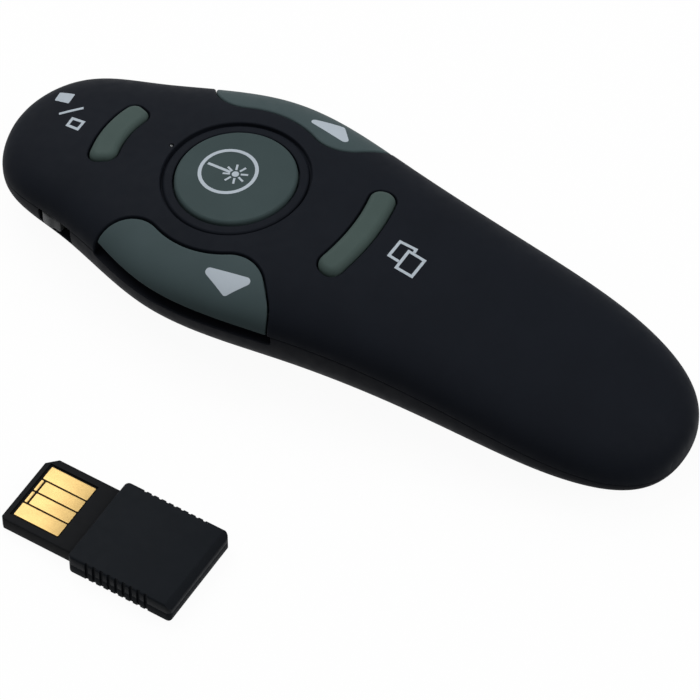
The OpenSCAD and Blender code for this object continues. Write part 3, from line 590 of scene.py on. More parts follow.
def page_outline(grow, side):
    """Page key seen from above, clockwise from its nose end at the flank round to its tail end."""
    scoop, out, c = page_centres()
    r = PAGE_CORNER_R + grow

    def turn(centre, v0, v1):
        a0, a1 = math.atan2(v0[1], v0[0]), math.atan2(v1[1], v1[0])
        a1 -= 2 * math.pi * round((a1 - a0) / (2 * math.pi))
        return arc_points(centre, r, a0, a1, 14)

    s0, s1 = c[0] - scoop, c[1] - scoop
    a0, a1 = math.atan2(s0[1], s0[0]), math.atan2(s1[1], s1[0])
    return side * FAR_SHIFT + np.concatenate([
        [(PAGE_X[0] - grow, PAGE_POLYGON[0][1])],
        turn(c[0], out[0], -s0),
        arc_points(scoop, PAGE_SCOOP_R - grow, a0, a1, 40)[1:-1],
        turn(c[1], -s1, out[2]),
        turn(c[2], out[2], out[3]),
        [(PAGE_X[1] + grow, PAGE_POLYGON[-1][1])],
    ])


def page_edge_z(x):
    return through(PAGE_EDGE_H, x / 15 + 1)


def refine(points, place, step):
    """Adds points halfway until the placed points lie no further apart than step."""
    pts = [np.asarray(p, float) for p in points]
    for _ in range(9):
        placed = place(np.array(pts))
        gaps = np.linalg.norm(np.diff(placed, axis=0), axis=1)
        if gaps.max() <= step:
            break
        new = [pts[0]]
        for i, gap in enumerate(gaps):
            if gap > step:
                new.append((pts[i] + pts[i + 1]) / 2)
            new.append(pts[i + 1])
        pts = new
    return np.array(pts)


def on_crown(xy, inset=0.0):
    return np.column_stack([xy, crown_z(xy[:, 0], xy[:, 1], inset)])


def on_belly(xy):
    return np.column_stack([xy, belly_z(xy[:, 0], xy[:, 1])])


def page_edge(grow, inset, side):
    """The page key's edge on the surface with its normals, tail end first; its ends run straight down."""
    xy = page_outline(grow, side)
    w = half_w(station(xy[:, 0], inset), inset)
    keep = np.flatnonzero(np.abs(xy[:, 1]) < w)
    lo, hi = keep[0], keep[-1]

    def flank(a, b):
        def inside(f):
            x, y = a + (b - a) * f
            return abs(y) < half_w(station(x, inset), inset)

        return a + (b - a) * crossing(inside, 0.0, 1.0)

    xy = np.vstack([flank(xy[lo], xy[lo - 1]), xy[lo : hi + 1], flank(xy[hi], xy[hi + 1])])
    xy = refine(xy, lambda q: on_crown(q, inset), 0.4)[::-1]
    p = on_crown(xy, inset)
    n, _ = skin_normals(p, inset)
    n[0] = n[-1] = (0, -1, 0)
    drop_by = np.array([[0, 0, -1.2]])
    p = np.vstack([p[:1] + drop_by, p[:1] + drop_by / 2, p, p[-1:] + drop_by / 2, p[-1:] + drop_by])
    n = np.vstack([n[:1], n[:1], n, n[-1:], n[-1:]])
    return p, n


def cover_outline(grow):
    half = COVER_W / 2 + grow
    return rounded_box((COVER_X[0] - grow, COVER_X[1] + grow), (-half, half), COVER_R, 12)


# ---- Body solids ----


def half_form(name, upper):
    """Upper or lower half of the body, its seam edge rounded."""
    seam, stations, turns = 0.16, 300, 120
    i = np.arange(5, stations - 4)
    rings = []
    for t in (1 - np.cos(math.pi * i / stations)) / 2:
        w, lv = float(half_w(t)), float(level(t))
        n, h = map(float, section(t, upper))
        r = min(seam, 0.25 * w, 0.25 * h)
        a1 = math.asin((r / h) ** (n / 2))
        a = np.linspace(a1, math.pi - a1, turns + 1)
        way = 1 if upper else -1
        side = skin(t, way * a)
        y1, x = side[0, 1], side[0, 0]
        q = np.array([math.pi / 2, math.pi / 3, math.pi / 6])
        edge = np.stack([np.full(3, x), y1 - r + r * np.cos(q), lv + way * (r - r * np.sin(q))], -1)
        rings.append(np.vstack([edge, side, flipped(edge)[::-1]]))
    return loft(name, rings)


def full_form(name, inset, stations=180, turns=84):
    """The whole body at an inset."""
    i = np.arange(3, stations - 2)
    t = (1 - np.cos(math.pi * i / stations)) / 2
    a = np.arange(turns) * 2 * math.pi / turns
    return loft(name, skin(t[:, None], a[None, :], inset))


def slab(name, outer, inner, low, steps=60, turns=70):
    """Slab of the near side's crown between two insets, from near its top down to an angle in degrees."""
    x0, x1, top = -33.0, 1.0, 80
    t = station(np.linspace(x0, x1, steps + 1))
    a = np.radians(np.linspace(top, low, turns + 1))
    out = skin(t[:, None], a[None, :], outer)
    back = skin(t[:, None], a[None, ::-1], inner)
    return loft(name, np.concatenate([out, back], 1), strips=True)


def wall_form():
    """Space that a post or rib may fill, up to the middle of the wall."""
    return full_form("hollow", WALL - 0.3, 120, 60)


def raised(points, by):
    out = np.array(points)
    out[:, 2] += by
    return out


# ---- Upper shell ----


def laser_disc(grow):
    return circle(LASER_X, 0, LASER_R + grow, 120)


def front_pill(grow):
    return bent_pill(FRONT_ARC, FRONT_W, -1, grow)


def rear_pill(grow):
    return bent_pill(REAR_ARC, REAR_W, 1, grow)


def crown_edge(xy, inset=0.0):
    p = on_crown(xy, inset)
    return p, skin_normals(p, inset)[0]


def bore_edge(r):
    """The edge of the laser bore on the nose, anticlockwise seen from ahead."""
    n = 72
    b = np.arange(n) * 2 * math.pi / n
    y, z = r * np.cos(b), LASER_Z - r * np.sin(b)

    def ahead(x):
        return fullness(np.stack([x, y, z], -1)) > 1

    x = crossing(ahead, np.full(n, -HALF_L + 1e-3), np.full(n, -44.0))
    p = np.stack([x, y, z], -1)
    return p, skin_normals(p)[0]


def bore(name, r, x0, x1):
    """Lengthwise round bar on the laser's axis."""
    n = 64
    y, z = circle(0, LASER_Z, r, n).T
    return loft(name, [np.column_stack([np.full(n, x), y, z]) for x in (x0, x1)])


def bezel_hole():
    return bore("hole", BEZEL_R + BEZEL_GAP, -54.0, -46.0)


def bezel_hole_edge():
    return edge_tool("edge", *bore_edge(BEZEL_R + BEZEL_GAP), True, EDGE, wall_dir=(1, 0, 0))


def upper_shell():
    """Upper shell with its bosses, the sunken ring and the openings of the keys and of the status light."""
    obj = half_form("upper_case", True)
    cut(obj, full_form("hollow", WALL))
    bosses = [
        cylinder("boss", x, y, CASE_BOSS_R, float(level(station(x))) + 0.02, OVER) for x, y, _ in CASE_SPOTS
    ]
    bosses += [cylinder("boss", x, y, POST_R, *WINDOW_POST_Z) for x, y in WINDOW_POSTS]
    for boss in bosses:
        join(obj, meet(boss, wall_form()))
    z = CASE_SEAT_Z
    tools = [cylinder("hole", x, y, THREAD_R, z, z + length + 0.3, 32) for x, y, length in CASE_SPOTS]
    tools += [cylinder("hole", x, y, PILOT_R, *WINDOW_PILOT_Z, 24) for x, y in WINDOW_POSTS]
    # Sunken ring with a groove at its rim
    ring = circle(0, 0, 1.0, 120)
    floor = [on_crown(ring * r + (LASER_X, 0), inset) for r, inset in RING_FLOOR]
    floor.append(raised(on_crown(ring * RING_R + (LASER_X, 0)), 1.5))
    tools.append(terrace("dish", floor))
    tools += [prism("hole", outline(KEY_GAP), 8, OVER) for outline in (laser_disc, front_pill, rear_pill)]
    tools += [prism("hole", page_outline(KEY_GAP, side), 4, OVER, bool(side)) for side in (0, 1)]
    tools.append(cylinder("hole", *LED_XY, PIPE_R + PIPE_GAP, 10, 20, 32))
    tools.append(bezel_hole())
    cut(obj, *tools)
    edges = [
        edge_tool("edge", *crown_edge(circle(LASER_X, 0, RING_R, 120)), True, HOLE_EDGE),
        edge_tool("edge", *crown_edge(laser_disc(KEY_GAP), RING_DEPTH), True, FINE_EDGE),
        edge_tool("edge", *crown_edge(front_pill(KEY_GAP)), True, HOLE_EDGE),
        edge_tool("edge", *crown_edge(rear_pill(KEY_GAP)), True, HOLE_EDGE),
        bezel_hole_edge(),
    ]
    for side in (0, 1):
        p, n = page_edge(KEY_GAP, 0, side)
        edges.append(edge_tool("edge", p, n, True, PAGE_HOLE_EDGE, closed=False, mirror=bool(side)))
    cut(obj, *edges)
    return ease(clean(obj), (0, RING_DEPTH, WALL))


# ---- Lower shell and battery cover ----


def belly_edge(xy):
    p = on_belly(xy)[::-1]
    return p, skin_normals(p)[0]


def rim_notch(x0, x1, z0, z1, r):
    """Notch in the rim seen from the side: its outline in X and Z, open at the top."""
    left = arc_points((x0 + r, z0 + r), r, math.pi, 1.5 * math.pi, 6)
    right = arc_points((x1 - r, z0 + r), r, 1.5 * math.pi, 2 * math.pi, 6)
    return np.vstack([[(x0, z1)], left, right, [(x1, z1)]])


def slot_outline():
    return rim_notch(*SLOT_X, KNOB_Z[0] - SLOT_BELOW, 10.5, 0.5)


def page_notch(side):
    shift = side * FAR_SHIFT[0]
    x0, x1 = PAGE_X[0] - KEY_GAP + shift, PAGE_X[1] + KEY_GAP + shift
    return rim_notch(x0, x1, PAGE_NOTCH_Z, 13.2, 0.4)


def flank_edge(name, outline_xz, r, mirror=False):
    """Sweep that rounds the edge of an opening in the near flank, or its mirror image."""
    xz = refine(outline_xz, lambda q: np.column_stack([q, q[:, 0] * 0]), 0.4)
    p = np.column_stack([xz[:, 0], -width_at(xz[:, 0], xz[:, 1]), xz[:, 1]])
    return edge_tool(name, p, skin_normals(p)[0], True, r, wall_dir=(0, 1, 0), closed=False, mirror=mirror)


def page_lip(side):
    """Lip inside the shell behind a page key."""
    rings = []
    for x in np.linspace(PAGE_X[0] - 1.4, PAGE_X[1] + 0.5, 40):
        top = min(page_edge_z(x) + LIP_RISE[0], float(level(station(x))) + LIP_RISE[1])
        z = np.concatenate([[PAGE_NOTCH_Z - 0.8, PAGE_NOTCH_Z - 0.2], np.linspace(PAGE_NOTCH_Z, top, 6)])
        outer = [-float(width_at(x, h, WALL - 0.2 if k < 2 else LIP_INSETS[0])) for k, h in enumerate(z)]
        inner = [-float(width_at(x, h, LIP_INSETS[1])) for h in z]
        rings.append([(x, y, h) for y, h in zip(outer + inner[::-1], [*z, *z[::-1]])])
    rings = np.array(rings)
    return loft("lip", flipped(rings) if side else rings, strips=True)


def belly_edge_tool(xy, hole, r):
    return edge_tool("edge", *belly_edge(xy), hole, r, wall_dir=(0, 0, 1))


def lower_shell():
    """Lower shell with the notches and lips below the page keys, posts, bay walls, cradles and openings."""
    obj = half_form("lower_case", False)
    cut(obj, full_form("hollow", WALL))
    for side in (0, 1):
        y = (NOTCH_Y, OUTSIDE) if side else (-OUTSIDE, -NOTCH_Y)
        cut(obj, side_prism("notch", page_notch(side), *y))
        cut(obj, flank_edge("edge", page_notch(side), EDGE, bool(side)))
        join(obj, page_lip(side))
    parts = [
        cylinder("boss", x, y, CASE_BOSS_R, UNDER, float(level(station(x))) - 0.1) for x, y, _ in CASE_SPOTS
    ]
    parts += [cylinder("post", x, y, POST_R, UNDER, BOARD_UNDERSIDE) for x, y in MAIN_POSTS]
    bay_y = (-BAY_HALF_W, BAY_HALF_W)
    parts.append(box("wall", (BAY_X[0] - RIB_T, BAY_X[0]), bay_y, BAY_FRONT_Z))
    parts.append(box("wall", (BAY_X[1], BAY_X[1] + RIB_T), bay_y, BAY_REAR_Z))
    cradle_y = (-CRADLE_HALF_W, CRADLE_HALF_W)
    parts += [box("cradle", (x, x + RIB_T), cradle_y, (UNDER, LASER_Z)) for x in CRADLE_X]
    for part in parts:
        join(obj, meet(part, wall_form()))
    tools = [prism("opening", cover_outline(COVER_GAP), UNDER, 5)]
    for x, y, _ in CASE_SPOTS:
        tools.append(cylinder("seat", x, y, SEAT_R, UNDER, CASE_SEAT_Z))
        tools.append(cylinder("hole", x, y, CLEAR_R, UNDER, 14, 32))
    tools += [cylinder("hole", x, y, PILOT_R, *MAIN_PILOT_Z, 24) for x, y in MAIN_POSTS]
    tools.append(bezel_hole())
    tools.append(bore("barrel_seat", BARREL_R, *BARREL_X))
    tools.append(side_prism("slot", slot_outline(), *SLOT_Y))
    cut(obj, *tools)
    edges = [belly_edge_tool(cover_outline(COVER_GAP), True, FINE_EDGE), bezel_hole_edge()]
    edges += [belly_edge_tool(circle(x, y, SEAT_R, 48), True, EDGE) for x, y, _ in CASE_SPOTS]
    edges.append(flank_edge("edge", slot_outline(), FINE_EDGE))
    cut(obj, *edges)
    return ease(clean(obj), (0, WALL))


def battery_cover():
    """Battery cover with its stepped hook tongue at the rear and a thumb notch at the front."""
    obj = half_form("cover", False)
    meet(obj, prism("plan", cover_outline(0), UNDER, 4))
    cut(obj, full_form("hollow", COVER_T))
    cut(obj, belly_edge_tool(cover_outline(0), False, EDGE))
    rear, tongue_y = COVER_X[1], (-6, 6)
    join(obj, box("tongue", (rear - 2, rear + 2), tongue_y, (2.0, 2.9)))
    join(obj, box("tongue", (rear - 2, rear - 0.4), tongue_y, (0.8, 2.2)))
    cut(obj, cylinder("thumb_notch", COVER_X[0] - 1.2, 0, 3.2, -2, 0.9, 72))
    return ease(clean(obj), (0, COVER_T))


# ---- Keys ----


def key_cap(name, outline, top, low, edge_r, steps, inner):
    """Domed cap over an outline function, from inset low up to inset top, its rim rounded."""
    loops = [on_crown(outline(0), low)]
    loops += [raised(on_crown(outline(-d), top), -s) for d, s in rounding(edge_r, steps)]
    loops += [on_crown(outline(-d), top) for d in inner if d > edge_r + 0.05]
    return terrace(name, loops)


def key_flange(outline):
    return terrace("flange", [on_crown(outline(FLANGE), inset) for inset in (FLANGE_FLOOR, FLANGE_TOP)])


def stem(at, cap_inset):
    x, y, foot = at
    return cylinder("stem", x, y, STEM_R, foot, float(crown_z(x, y, cap_inset)) + 0.3, 32)


def laser_key():
    """Round key with its flange and stem."""
    inner = np.arange(0.7, 8.2, 0.6)
    obj = key_cap("round_key", laser_disc, LASER_TOP, FLANGE_FLOOR, LASER_KEY_EDGE, 6, inner)
    join(obj, key_flange(laser_disc))
    join(obj, stem(LASER_STEM, FLANGE_FLOOR))
    return ease(clean(obj), (LASER_TOP,))


def arc_key(name, outline, width, at, cap_inner):
    """Bent key; its flange and the post under its cap leave the middle free for the switch."""
    inner = np.arange(1.2, width / 2 - 0.1, 0.2)
    obj = key_cap(name, outline, -ARC_RISE, cap_inner, ARC_KEY_EDGE, 7, inner)
    post = terrace("post", [on_crown(outline(-0.2), inset) for inset in (FLANGE_FLOOR, cap_inner - 0.2)])
    for part in (post, key_flange(outline)):
        join(obj, cut(part, box("clear", (-60, 20), (-2.75, 2.75), (5, OUTSIDE))))
    join(obj, stem(at, cap_inner))
    return ease(clean(obj), (-ARC_RISE,))


def front_key():
    return arc_key("front_key", front_pill, FRONT_W, BLACK_STEM, 1.0)


def rear_key():
    return arc_key("rear_key", rear_pill, REAR_W, WINDOW_STEM, 1.2)


def below(height):
    """Space on the near side under a line along the body, given as a function of x."""
    x0, x1 = -34.0, 1.5
    x = np.linspace(x0, x1, 60)
    line = np.column_stack([x, height(x)])
    return side_prism("below", np.vstack([line, [(x1, -2), (x0, -2)]]), -26, 0)


def flange_edge_z(x):
    return level(station(x)) + 3


def page_key(name, side):
    """Side key: a cap in the body's surface, a neck, a flange and a stem."""
    obj = slab(name, PAGE_INSET, CAP_FLOOR, 186)
    meet(obj, prism("plan", page_outline(0, side), 2, OVER))
    cut(obj, below(page_edge_z))
    p, n = page_edge(0, PAGE_INSET, side)
    x = np.linspace(-32.5, 0.5, 90)
    z = page_edge_z(x)
    low = np.column_stack([x, -width_at(x, z, PAGE_INSET), z])
    low_n = skin_normals(low, PAGE_INSET)[0]
    rim_r, low_r = PAGE_KEY_EDGES
    cut(
        obj,
        edge_tool("edge", p, n, False, rim_r, closed=False),
        edge_tool("edge", low, low_n, False, low_r, wall_dir=(0, 1, 0), closed=False),
    )
    neck = slab("neck", CAP_FLOOR - 0.2, FLANGE_FLOOR, 165, 40, 40)
    flange = slab("flange", FLANGE_TOP, FLANGE_FLOOR, 165, 40, 40)
    for part, grow in ((neck, -0.8), (flange, FLANGE)):
        meet(part, prism("plan", page_outline(grow, side), 2, OVER))
        cut(part, below(flange_edge_z))
    join(obj, neck, flange)
    join(obj, stem(FAR_STEM if side else NEAR_STEM, FLANGE_FLOOR))
    ease(clean(obj), (PAGE_INSET,))
    return mirrored(obj) if side else obj


# ---- Small parts of the body ----


def bezel():
    """Ring around the laser window, its front rounded inside and outside."""
    (x0, x1), inner, r, turns = BEZEL_X, BEZEL_BORE_R, BEZEL_ROUND, 64
    angles = np.linspace(0, math.pi / 2, 6)
    lip = [(BEZEL_R - r + r * math.sin(q), x0 + r - r * math.cos(q)) for q in angles]
    inside = [(inner + r - r * math.sin(q), x0 + r - r * math.cos(q)) for q in angles[::-1]]
    section = [*inside, *lip, (BEZEL_R, x1), (inner, x1)]
    rings = [
        [(x, d * math.cos(q), LASER_Z + d * math.sin(q)) for d, x in section]
        for q in np.arange(turns) * 2 * math.pi / turns
    ]
    return clean(loft("bezel", rings, closed=True), 50)


def light_pipe():
    """Status light window with a collar, its domed end flush with the crown."""
    x, y = LED_XY
    foot, (z0, z1), collar_r, dome = 10.6, (11.8, 12.6), 1.0, 0.14
    top = float(crown_z(x, y)) - 0.04
    profile = [(PIPE_R, foot), (PIPE_R, z0), (collar_r, z0), (collar_r, z1), (PIPE_R, z1)]
    profile += [(PIPE_R * math.cos(q), top - dome + dome * math.sin(q)) for q in np.linspace(0, 1.45, 6)]
    return clean(terrace("light_window", [at_height(circle(x, y, r, 40), z) for r, z in profile]), 50)


def switch_knob():
    """Thumb slider with one ridge, its ends rounded, and the tongue that reaches the switch."""
    front = [
        (-1.7, 0.75), (-1.5, 0.5), (-0.25, 0.03), (0, 0), (0.2, 0.05),
        (0.5, 0.2), (0.75, 0.2), (1.45, 0.06), (1.65, 0.12),
    ]
    plan = np.array(front + [(1.7, 0.25), (1.7, 1.7), (-1.7, 1.7)]) + (KNOB_X, KNOB_Y)
    obj = block("knob", plan, *KNOB_Z, 0.15, 4)
    join(obj, box("tongue", (KNOB_X - 0.6, KNOB_X + 0.6), (KNOB_Y + 1.6, KNOB_Y + 4.2), (6.4, 7.4)))
    return clean(obj, 40)


# ---- Printed marks ----

# How far a mark stands out of the surface and reaches into it
MARK_OUT, MARK_IN = 0.022, 0.05


def thicken(name, xy, faces, inset, mirror):
    """Thin closed solid that lies on the crown, from a plan mesh."""
    xy = np.asarray(xy, float)
    n = len(xy)
    count = {}
    for f in faces:
        for a, b in zip(f, f[1:] + f[:1]):
            count[(a, b)] = count.get((a, b), 0) + 1
    rim = [(a, b) for a, b in count if (b, a) not in count]
    middle = on_crown(xy, inset)
    normal, _ = skin_normals(middle, inset)
    verts = np.vstack([middle + normal * MARK_OUT, middle - normal * MARK_IN])
    if mirror:
        verts = flipped(verts)
    solid_faces = [tuple(f) for f in faces] + [tuple(n + i for i in f[::-1]) for f in faces]
    solid_faces += [(a, n + a, n + b, b) for a, b in rim]
    return clean(solid(name, verts, solid_faces), 50)


def ribbon(points, width, closed=False):
    """Plan mesh of a line of that width along a path."""
    p = np.asarray(points, float)
    if closed:
        p = np.vstack([p, p[:1]])
    path = [p[0]]
    for a, b in zip(p[:-1], p[1:]):
        k = max(1, int(np.linalg.norm(b - a) / 0.35))
        path += [a + (b - a) * (i + 1) / k for i in range(k)]
    p = np.array(path[:-1] if closed else path)
    before, after = neighbours(p)
    u, v = after - p, p - before
    if not closed:
        u[-1], v[0] = v[-1], u[0]
    u = unit(u)
    m = unit(u + unit(v))
    side = left(m) / np.maximum(np.sum(m * u, 1), 0.4)[:, None] * width / 2
    n = len(p)
    faces = [[i, n + i, n + (i + 1) % n, (i + 1) % n] for i in range(n if closed else n - 1)]
    return np.vstack([p + side, p - side]), faces


def rounded(corners, r):
    """Convex outline whose corners are arcs of radius r."""
    steps = 6
    p = np.asarray(corners, float)
    out = []
    before, after = neighbours(p)
    for b, u, v in zip(p, unit(before - p), unit(after - p)):
        half = math.acos(u @ v) / 2
        mid = b + unit(u + v) * r / math.sin(half)
        first = b + u * r / math.tan(half) - mid
        turn = (math.pi - 2 * half) * np.sign(v[0] * u[1] - v[1] * u[0])
        for k in range(steps + 1):
            cos, sin = math.cos(turn * k / steps), math.sin(turn * k / steps)
            out.append(mid + (first[0] * cos - first[1] * sin, first[0] * sin + first[1] * cos))
    return out


def plate(outline, rings, r):
    """Plan mesh of a filled outline that is star-shaped about its middle; its corners are eased over r."""
    p = np.asarray(outline, float)
    before, after = neighbours(p)
    eased = []
    for b, c, u, v in zip(p, after, unit(before - p), unit(after - p)):
        eased += [b + u * r * (1 - f) ** 2 + v * r * f * f for f in (0, 0.33, 0.67, 1)]
        k = max(1, int(np.linalg.norm(c - b) / 0.5))
        eased += [b + v * r + (c - b - 2 * v * r) * j / k for j in range(1, k)]
    p = np.array(eased)
    mid = p.mean(0)
    m = len(p)
    verts = [mid + (p - mid) * (k + 1) / rings for k in range(rings)]
    faces = [[j, (j + 1) % m, rings * m] for j in range(m)]
    for k in range(rings - 1):
        a, b = k * m, (k + 1) * m
        faces += [[a + j, b + j, b + (j + 1) % m, a + (j + 1) % m] for j in range(m)]
    return np.vstack([*verts, mid[None]]), faces


def merged(*meshes):
    """Several plan meshes as one."""
    verts, faces, base = [], [], 0
    for v, f in meshes:
        verts.append(v)
        faces += [[base + i for i in face] for face in f]
        base += len(v)
    return np.vstack(verts), faces


def marks():
    """Name, body, plan mesh, inset and side of each printed mark."""
    arrow = rounded([(-14.1, -14.75), (-8.5, -16.85), (-5.35, -13.2)], 0.55)
    far_arrow = [(x - 1.95, y) for x, y in arrow]
    # Laser: a beam, a spot with eight rays and a ring round them
    x, y = -17.45, 0.1
    rays = []
    for k in range(8):
        a = math.pi * (k + 0.5) / 4
        c, s = math.cos(a), math.sin(a)
        rays.append(ribbon([(x + c * r, y + s * r) for r in (0.75, 1.75)], 0.3))
    rays.append(ribbon([(x - 0.8, y), (x - 4.4, y)], 0.42))
    disc = circle(x, y, 0.5, 16)
    ring = ribbon(circle(-18.6, y, 3.9, 48), 0.5, closed=True)
    black = merged(
        plate([(-48.9, 2.75), (-49.25, 4.6), (-46.75, 4.7), (-46.45, 2.6)], 4, 0.2),
        ribbon([(-46.48, 0.31), (-43.79, 2.41)], 0.45),
        ribbon([(-43.95, -1.35), (-44.05, 0.05), (-42.1, -0.1), (-42.1, -1.6)], 0.42, closed=True),
    )
    window = merged(
        ribbon([(9.3, -1.45), (7.7, -1.3), (7.75, 1.5), (10.2, 1.55), (10.25, 0.95)], 0.42),
        ribbon([(9.55, 0.75), (12.1, 0.58), (12.05, -2.6), (9.55, -2.5)], 0.42, closed=True),
    )
    return [
        ("mark_next", "near_page_key", plate(arrow, 5, 0.02), PAGE_INSET, False),
        ("mark_back", "far_page_key", plate(far_arrow, 5, 0.02), PAGE_INSET, True),
        ("mark_laser", "laser_key", merged(plate(disc, 2, 0.02), ring, *rays), LASER_TOP, False),
        ("mark_black", "case", black, 0.0, False),
        ("mark_window", "case", window, 0.0, False),
    ]


# ---- Receiver ----


def receiver_outline(d):
    """Receiver body seen from above, its long sides grooved; d is how far in from the outside."""
    l, w, _ = RECEIVER
    x1, y, q = l - d, w / 2 - d, RECEIVER_CORNER_R - d
    xs = [q + d]
    for i in range(GRIP_GROOVES):
        at = 3.0 + 1.15 * i
        xs += [at - 0.27, at - 0.2, at + 0.2, at + 0.27]
    xs.append(x1 - q)
    depth = [0] + [0, 0.3, 0.3, 0] * GRIP_GROOVES + [0]
    side = [(x, w / 2 - max(d, g)) for x, g in zip(xs, depth)]
    centres = [(x1 - q, q - y), (x1 - q, y - q), (d + q, y - q), (d + q, q - y)]
    turns = np.arange(-1, 4) * math.pi / 2
    near, tail, far, front = (arc_points(c, q, a0, a1, 8) for c, a0, a1 in zip(centres, turns, turns[1:]))
    pts = np.vstack([[(x, -yy) for x, yy in side], near[1:], tail[:-1], side[::-1], far[1:], front[:-1]])
    return pts + (RECEIVER_X, RECEIVER_Y)


def receiver_shell(name, upper):
    """Upper or lower half of the receiver, hollow, its edges rounded and its rear edge bevelled."""
    l, w, h = RECEIVER
    x, y, c, seam = RECEIVER_X, RECEIVER_Y, RECEIVER_WALL, 0.05
    way = 1 if upper else -1
    base, split = h if upper else 0, RECEIVER_SPLIT
    steps = [(seam, split), (seam / 3, split + way * seam / 3), (0, split + way * seam)]
    steps += [(d, base - way * s) for d, s in rounding(0.3)]
    obj = terrace(name, [at_height(receiver_outline(d), z) for d, z in steps])
    if upper:
        bevel = [
            (-1, 0), (-0.85, -0.03), (-0.72, -0.12), (-0.12, -0.72), (-0.03, -0.85),
            (0, -1), (1, -1), (1, 1), (-1, 1),
        ]
    else:
        bevel = [(-0.5, 0), (-0.38, 0.04), (-0.04, 0.38), (0, 0.5), (1, 0.5), (1, -1), (-0.5, -1)]
    cut(obj, side_prism("bevel", [(x + l + a, base + b) for a, b in bevel], y - 10, y + 10))
    half = w / 2 - c - 0.3
    cut(obj, box("hollow", (x + c, x + l - c - 0.4), (y - half, y + half), (c, h - c)))
    half = PLUG[1] / 2 - 0.5
    cut(obj, box("mouth", (x - 1, x + c + ROOT_L), (y - half, y + half), (ROOT_Z, ROOT_Z + ROOT_T)))
    return clean(obj, 36)


def receiver_plug():
    """Plug without a metal shell, its tip corners cut off and its upper side sunk for the contacts."""
    l, w, t = PLUG
    near_cut, far_cut, play = 0.4, 1.4, 0.02
    x, y, top = RECEIVER_X, RECEIVER_Y, PLUG_Z + t
    tip = [(far_cut - l, w / 2), (-l, w / 2 - far_cut), (-l, near_cut - w / 2)]
    plan = np.array([(near_cut - l, -w / 2), (-play, -w / 2), (-play, w / 2), *tip]) + (x, y)
    obj = block("plug", plan, PLUG_Z, top, 0.2, 3)
    half = w / 2 - 0.5 - play
    root_z = (ROOT_Z + play, ROOT_Z + ROOT_T - play)
    join(obj, box("root", (x - 0.5, x + RECEIVER_WALL + ROOT_L), (y - half, y + half), root_z))
    cut(obj, box("window", (x - 10.6, x - 3.0), (y - 4.9, y + 4.9), (top - CONTACT_DEPTH, top + 1)))
    return clean(obj, 36)


def receiver_contacts():
    """Four gold contacts with softly rounded rims, the two inner ones split near the tip."""
    x, y = RECEIVER_X, RECEIVER_Y
    base = PLUG_Z + PLUG[2] - CONTACT_DEPTH
    whole, split, r = [(-10.2, -3.2)], [(-10.2, -9.75), (-9.5, -3.2)], 0.15
    steps = [(0, base)] + [(d, base + CONTACT_T - s) for d, s in rounding(0.06, 3)]
    pieces = []
    for y0, y1, spans in ((-4.6, -2.3, whole), (-2.1, -0.1, split), (0.1, 2.1, split), (2.3, 4.6, whole)):
        for x0, x1 in spans:
            loops = [
                at_height(rounded_box((x + x0 + d, x + x1 - d), (y + y0 + d, y + y1 - d), r - d, 5), z)
                for d, z in steps
            ]
            pieces.append(terrace("contact", loops))
    first = pieces[0]
    first.name = "contacts"
    return clean(join(first, *pieces[1:]), 40)


# ---- Materials ----


def srgb(*levels):
    """Linear colour from red, green and blue as 0 to 255; none of the levels here is below 11."""
    return tuple(((c / 255 + 0.055) / 1.055) ** 2.4 for c in levels) + (1.0,)


# The part of a noise's range that holds most of its values
NOISE_SPAN = (0.3, 0.7)


class Nodes:
    """A new material and short ways to add and link its nodes."""

    def __init__(self, name, **surface):
        self.material = bpy.data.materials.new(name)
        self.material.use_nodes = True
        self.tree = self.material.node_tree
        self.tree.nodes.clear()
        self.out = self.tree.nodes.new("ShaderNodeOutputMaterial")
        self.shader = self.add("ShaderNodeBsdfPrincipled", **surface)
        self.link(self.shader.outputs[0], self.out.inputs["Surface"])
        self.coords = self.tree.nodes.new("ShaderNodeTexCoord").outputs["Object"]

    def add(self, kind, **values):
        node = self.tree.nodes.new(kind)
        sockets = {s.name.lower().replace(" ", "_"): s for s in node.inputs}
        for key, value in values.items():
            sockets[key].default_value = value
        return node

    def link(self, a, b):
        self.tree.links.new(a, b)

    def noise(self, scale, detail=3.0, stretch=None):
        node = self.add("ShaderNodeTexNoise", scale=scale, detail=detail)
        place = self.coords
        if stretch:
            turn = self.add("ShaderNodeMapping")
            turn.inputs["Scale"].default_value = stretch
            self.link(place, turn.inputs["Vector"])
            place = turn.outputs[0]
        self.link(place, node.inputs["Vector"])
        return node.outputs[0]

    def between(self, factor, low, high):
        """A value from low to high, as the factor goes over the middle of a noise."""
        node = self.tree.nodes.new("ShaderNodeMapRange")
        for socket, value in zip(("From Min", "From Max", "To Min", "To Max"), (*NOISE_SPAN, low, high)):
            node.inputs[socket].default_value = value
        self.link(factor, node.inputs["Value"])
        return node.outputs["Result"]

    def tint(self, factor, low, high):
        """The same for two colours."""
        ramp = self.tree.nodes.new("ShaderNodeValToRGB")
        for element, at, color in zip(ramp.color_ramp.elements, NOISE_SPAN, (low, high)):
            element.position, element.color = at, color
        self.link(factor, ramp.inputs["Fac"])
        return ramp.outputs["Color"]

    def bump(self, height, strength, distance):
        node = self.tree.nodes.new("ShaderNodeBump")
        node.inputs["Strength"].default_value = strength
        node.inputs["Distance"].default_value = distance
        self.link(height, node.inputs["Height"])
        self.link(node.outputs[0], self.shader.inputs["Normal"])


def scaled(color, f):
    return tuple(min(1.0, c * f) for c in color[:3]) + (1.0,)


